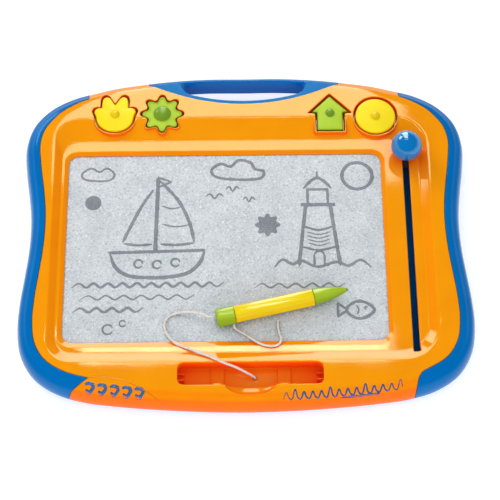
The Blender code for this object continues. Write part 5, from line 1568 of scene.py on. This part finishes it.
# hollow is the painted light and shade colour, reach the distance at which hollows take it, and wall how
# much steep walls take it and lose gloss
def moulded(effects, name, colour, deep, rub_colour, hollow=None, reach=0.02, wall=0.0, gloss=0.06,
            tint=WHITE, grain=0.000004, wave=0.00003, radius=0.0007, rub=0.35, smear=0.05, scratch=0.12,
            metallic=0.0, specular=0.5):
    """Moulded plastic or metal: cloudy colour, a painted light and shade colour in hollows and on steep
    walls, fine grain, rubbed edges and handling marks.
    """
    material, tree, place = start_material(name)
    skin = use_effect(tree, effects["moulding"], place, {
        "Colour": colour, "Deep Colour": deep, "Painted Light And Shade Colour": hollow or deep, "Hollow Reach": reach,
        "Cloud Scale": 30.0, "Grain Scale": 1400.0, "Wave Scale": 26.0, "Grain Height": grain,
        "Wave Height": wave, "Wall Shade Share": wall,
    })
    edges = use_effect(tree, effects["edges"], place, {
        "Colour": skin["Colour"], "Rub Colour": rub_colour, "Radius": radius, "Rub": rub,
    })
    marks = use_effect(tree, effects["handling"], place, {
        "Gloss": gloss, "Smear": smear, "Scratch": scratch,
    })
    # One number for the gloss level, unless the upright walls are duller
    level = times(tree, skin["Level"], specular) if wall else specular
    set_shader(tree, {
        "Base Color": edges["Colour"], "Roughness": marks["Roughness"], "Metallic": metallic,
        "Normal": bump(tree, skin["Height"], Normal=edges["Normal"]),
        "Specular IOR Level": level, "Specular Tint": tint,
    })
    return material


def screen_material(effects):
    material, tree, place = start_material("screen_film_finish")
    # The rim shade paints the lip's shadow as dark specks along the foot of the rim
    specks = use_effect(tree, effects["specks"], place, {
        "Colour": (0.53, 0.57, 0.60), "Dark": (0.24, 0.27, 0.30), "Light": (0.80, 0.83, 0.86),
        "Cell Scale": 420.0, "Speck Scale": 620.0, "Rim Shade": 0.35,
    })
    marks = use_effect(tree, effects["handling"], place, {"Gloss": 0.34, "Smear": 0.14, "Scratch": 0.25})
    set_shader(tree, {
        "Base Color": specks["Colour"], "Roughness": marks["Roughness"],
        "Normal": bump(tree, specks["Height"], 0.00001), "Specular IOR Level": 0.15,
    })
    return material


def powder_material(effects):
    material, tree, place = start_material("drawn_powder_finish")
    specks = use_effect(tree, effects["specks"], place, {
        "Colour": (0.20, 0.22, 0.245), "Dark": (0.11, 0.12, 0.14), "Light": (0.42, 0.45, 0.49),
        "Cell Scale": 420.0, "Speck Scale": 900.0, "Rim Shade": 0.0,
    })
    set_shader(tree, {"Base Color": specks["Colour"], "Roughness": 0.6, "Specular IOR Level": 0.1})
    return material


def cord_material(effects):
    """Spun white cord: fine fibres and painted shade in the grooves."""
    material, tree, place = start_material("spun_cord_finish")
    skin = use_effect(tree, effects["moulding"], place, {
        "Colour": (0.90, 0.88, 0.84), "Deep Colour": (0.78, 0.73, 0.66),
        "Painted Light And Shade Colour": (0.38, 0.30, 0.24), "Hollow Reach": 0.002, "Cloud Scale": 300.0,
        "Grain Scale": 2600.0, "Wave Scale": 900.0, "Grain Height": 0.00006, "Wave Height": 0.00008,
    })
    set_shader(tree, {
        "Base Color": skin["Colour"], "Roughness": 0.85, "Sheen Weight": 0.3,
        "Normal": bump(tree, skin["Height"]),
    })
    return material


def make_finishes():
    effects = {
        "moulding": moulding_effect(), "edges": rubbed_edge_effect(),
        "handling": handling_effect(), "specks": speckle_effect(),
    }
    return {
        # Orange: deep red painted shade in its hollows and on its steep walls
        "orange": moulded(
            effects, "orange_gloss", (0.90, 0.315, 0.0022), (0.87, 0.290, 0.002), (0.98, 0.46, 0.06),
            hollow=(0.95, 0.080, 0.004), reach=0.026, wall=0.62, gloss=0.035, smear=0.03,
            tint=(1.0, 0.98, 0.62), radius=0.0011),
        # Blue: a lighter blue in its hollows, painted light where its recesses would be dark
        "blue": moulded(
            effects, "blue_gloss", (0.0, 0.145, 0.46), (0.0, 0.132, 0.43), (0.04, 0.30, 0.68),
            hollow=(0.0, 0.23, 0.68), reach=0.03, gloss=0.12, tint=(0.3, 0.85, 1.0), radius=0.0011,
            specular=0.16),
        "knob": moulded(
            effects, "knob_gloss", (0.0, 0.185, 0.52), (0.0, 0.170, 0.49), (0.10, 0.38, 0.72),
            hollow=(0.0, 0.06, 0.28), reach=0.03, gloss=0.04, tint=(0.75, 0.95, 1.0), wave=0.0,
            specular=1.0),
        "yellow": moulded(
            effects, "yellow_satin", (0.90, 0.72, 0.004), (0.87, 0.66, 0.003), (0.96, 0.86, 0.22),
            hollow=(0.78, 0.34, 0.004), reach=0.010, gloss=0.26, tint=(1.0, 0.95, 0.6), specular=0.18),
        "green": moulded(
            effects, "green_satin", (0.42, 0.60, 0.030), (0.36, 0.54, 0.022), (0.62, 0.76, 0.18),
            hollow=(0.12, 0.26, 0.008), reach=0.010, gloss=0.24, tint=(0.85, 1.0, 0.6), specular=0.18),
        "barrel": moulded(
            effects, "yellow_gloss", (0.88, 0.68, 0.004), (0.84, 0.62, 0.003), (0.98, 0.86, 0.30),
            hollow=(0.66, 0.38, 0.004), reach=0.03, wall=0.35, gloss=0.13, tint=(1.0, 0.92, 0.75),
            specular=0.8),
        "tip": moulded(
            effects, "green_gloss", (0.40, 0.56, 0.026), (0.34, 0.50, 0.020), (0.64, 0.78, 0.20),
            hollow=(0.16, 0.27, 0.008), reach=0.03, wall=0.5, gloss=0.16, tint=(0.9, 1.0, 0.65),
            specular=0.6),
        # Darker copies of the green and the yellow for the stamps' domes: painted shade
        "shaded_green": moulded(
            effects, "shaded_green_satin", (0.17, 0.32, 0.022), (0.14, 0.28, 0.016), (0.45, 0.62, 0.15),
            gloss=0.18, tint=(0.85, 1.0, 0.6), specular=0.3),
        "shaded_yellow": moulded(
            effects, "shaded_yellow_satin", (0.80, 0.58, 0.004), (0.76, 0.53, 0.003), (0.95, 0.84, 0.22),
            gloss=0.18, tint=(1.0, 0.95, 0.6), specular=0.3),
        "charcoal": moulded(
            effects, "charcoal_moulding", (0.035, 0.037, 0.040), (0.026, 0.028, 0.030), (0.12, 0.12, 0.13),
            gloss=0.40, grain=0.00002),
        "grey": moulded(
            effects, "grey_moulding", (0.42, 0.44, 0.46), (0.37, 0.39, 0.41), (0.60, 0.61, 0.62),
            gloss=0.45, grain=0.00002),
        "zinc": moulded(
            effects, "zinc_plating", (0.58, 0.59, 0.61), (0.48, 0.49, 0.51), (0.80, 0.80, 0.80),
            gloss=0.30, metallic=1.0, scratch=0.3),
        "ferrite": moulded(
            effects, "magnet_rubber", (0.05, 0.05, 0.055), (0.035, 0.035, 0.04), (0.14, 0.13, 0.13),
            gloss=0.60, grain=0.00003),
        "felt": moulded(
            effects, "pressed_felt", (0.12, 0.12, 0.13), (0.07, 0.07, 0.08), (0.20, 0.20, 0.21),
            gloss=0.92, grain=0.00015, specular=0.1),
        "ink": moulded(
            effects, "blue_print", (0.02, 0.15, 0.42), (0.015, 0.12, 0.36), (0.10, 0.25, 0.50),
            gloss=0.25, rub=0.1),
        "screen": screen_material(effects),
        "powder": powder_material(effects),
        "cord": cord_material(effects),
    }


def dress_solids(finishes):
    """Better finishes for the solids whose shape stays."""
    kept = {
        "screen": ("screen_front_film", "screen_back_film"), "powder": ("screen_powder_cells",),
        "grey": ("screen_retainer",), "charcoal": ("eraser_carriage", "eraser_bar"),
        "zinc": ("eraser_knob_screw", "eraser_bar_screw"),
        "felt": ("eraser_glide_left", "eraser_glide_right"),
        "ferrite": ("eraser_magnet_strip", "pen_magnet_nib", "paw_stamp_magnet", "star_stamp_magnet",
                    "house_stamp_magnet", "circle_stamp_magnet"),
        "cord": ("tether_anchor_knot",),
    }
    for finish, nodes in kept.items():
        for node in nodes:
            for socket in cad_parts[node].material_slots:
                socket.material = finishes[finish]


make_camera()
finishes = make_finishes()
make_cords(finishes["cord"])
make_world()
make_lamps()
make_floor()
form = make_form()
space = make_space()
cover = make_cover(form, space, finishes["orange"])
make_base(form, space, finishes["blue"])
bpy.data.objects.remove(form)
bpy.data.objects.remove(space)
make_knob(finishes["knob"])
for name, colour in STAMP_COLOURS.items():
    make_stamp(name, finishes[colour], finishes[DOME_SHADE_FINISHES[colour]])
make_barrel(finishes["barrel"])
make_end_cap(finishes["tip"])
make_tip_cone(finishes["tip"])
make_screws(finishes["zinc"])
ribbon_tree = line_tree()
make_drawing(ribbon_tree, finishes["powder"])
make_prints(cover, ribbon_tree, finishes["ink"], finishes["orange"])
dress_solids(finishes)
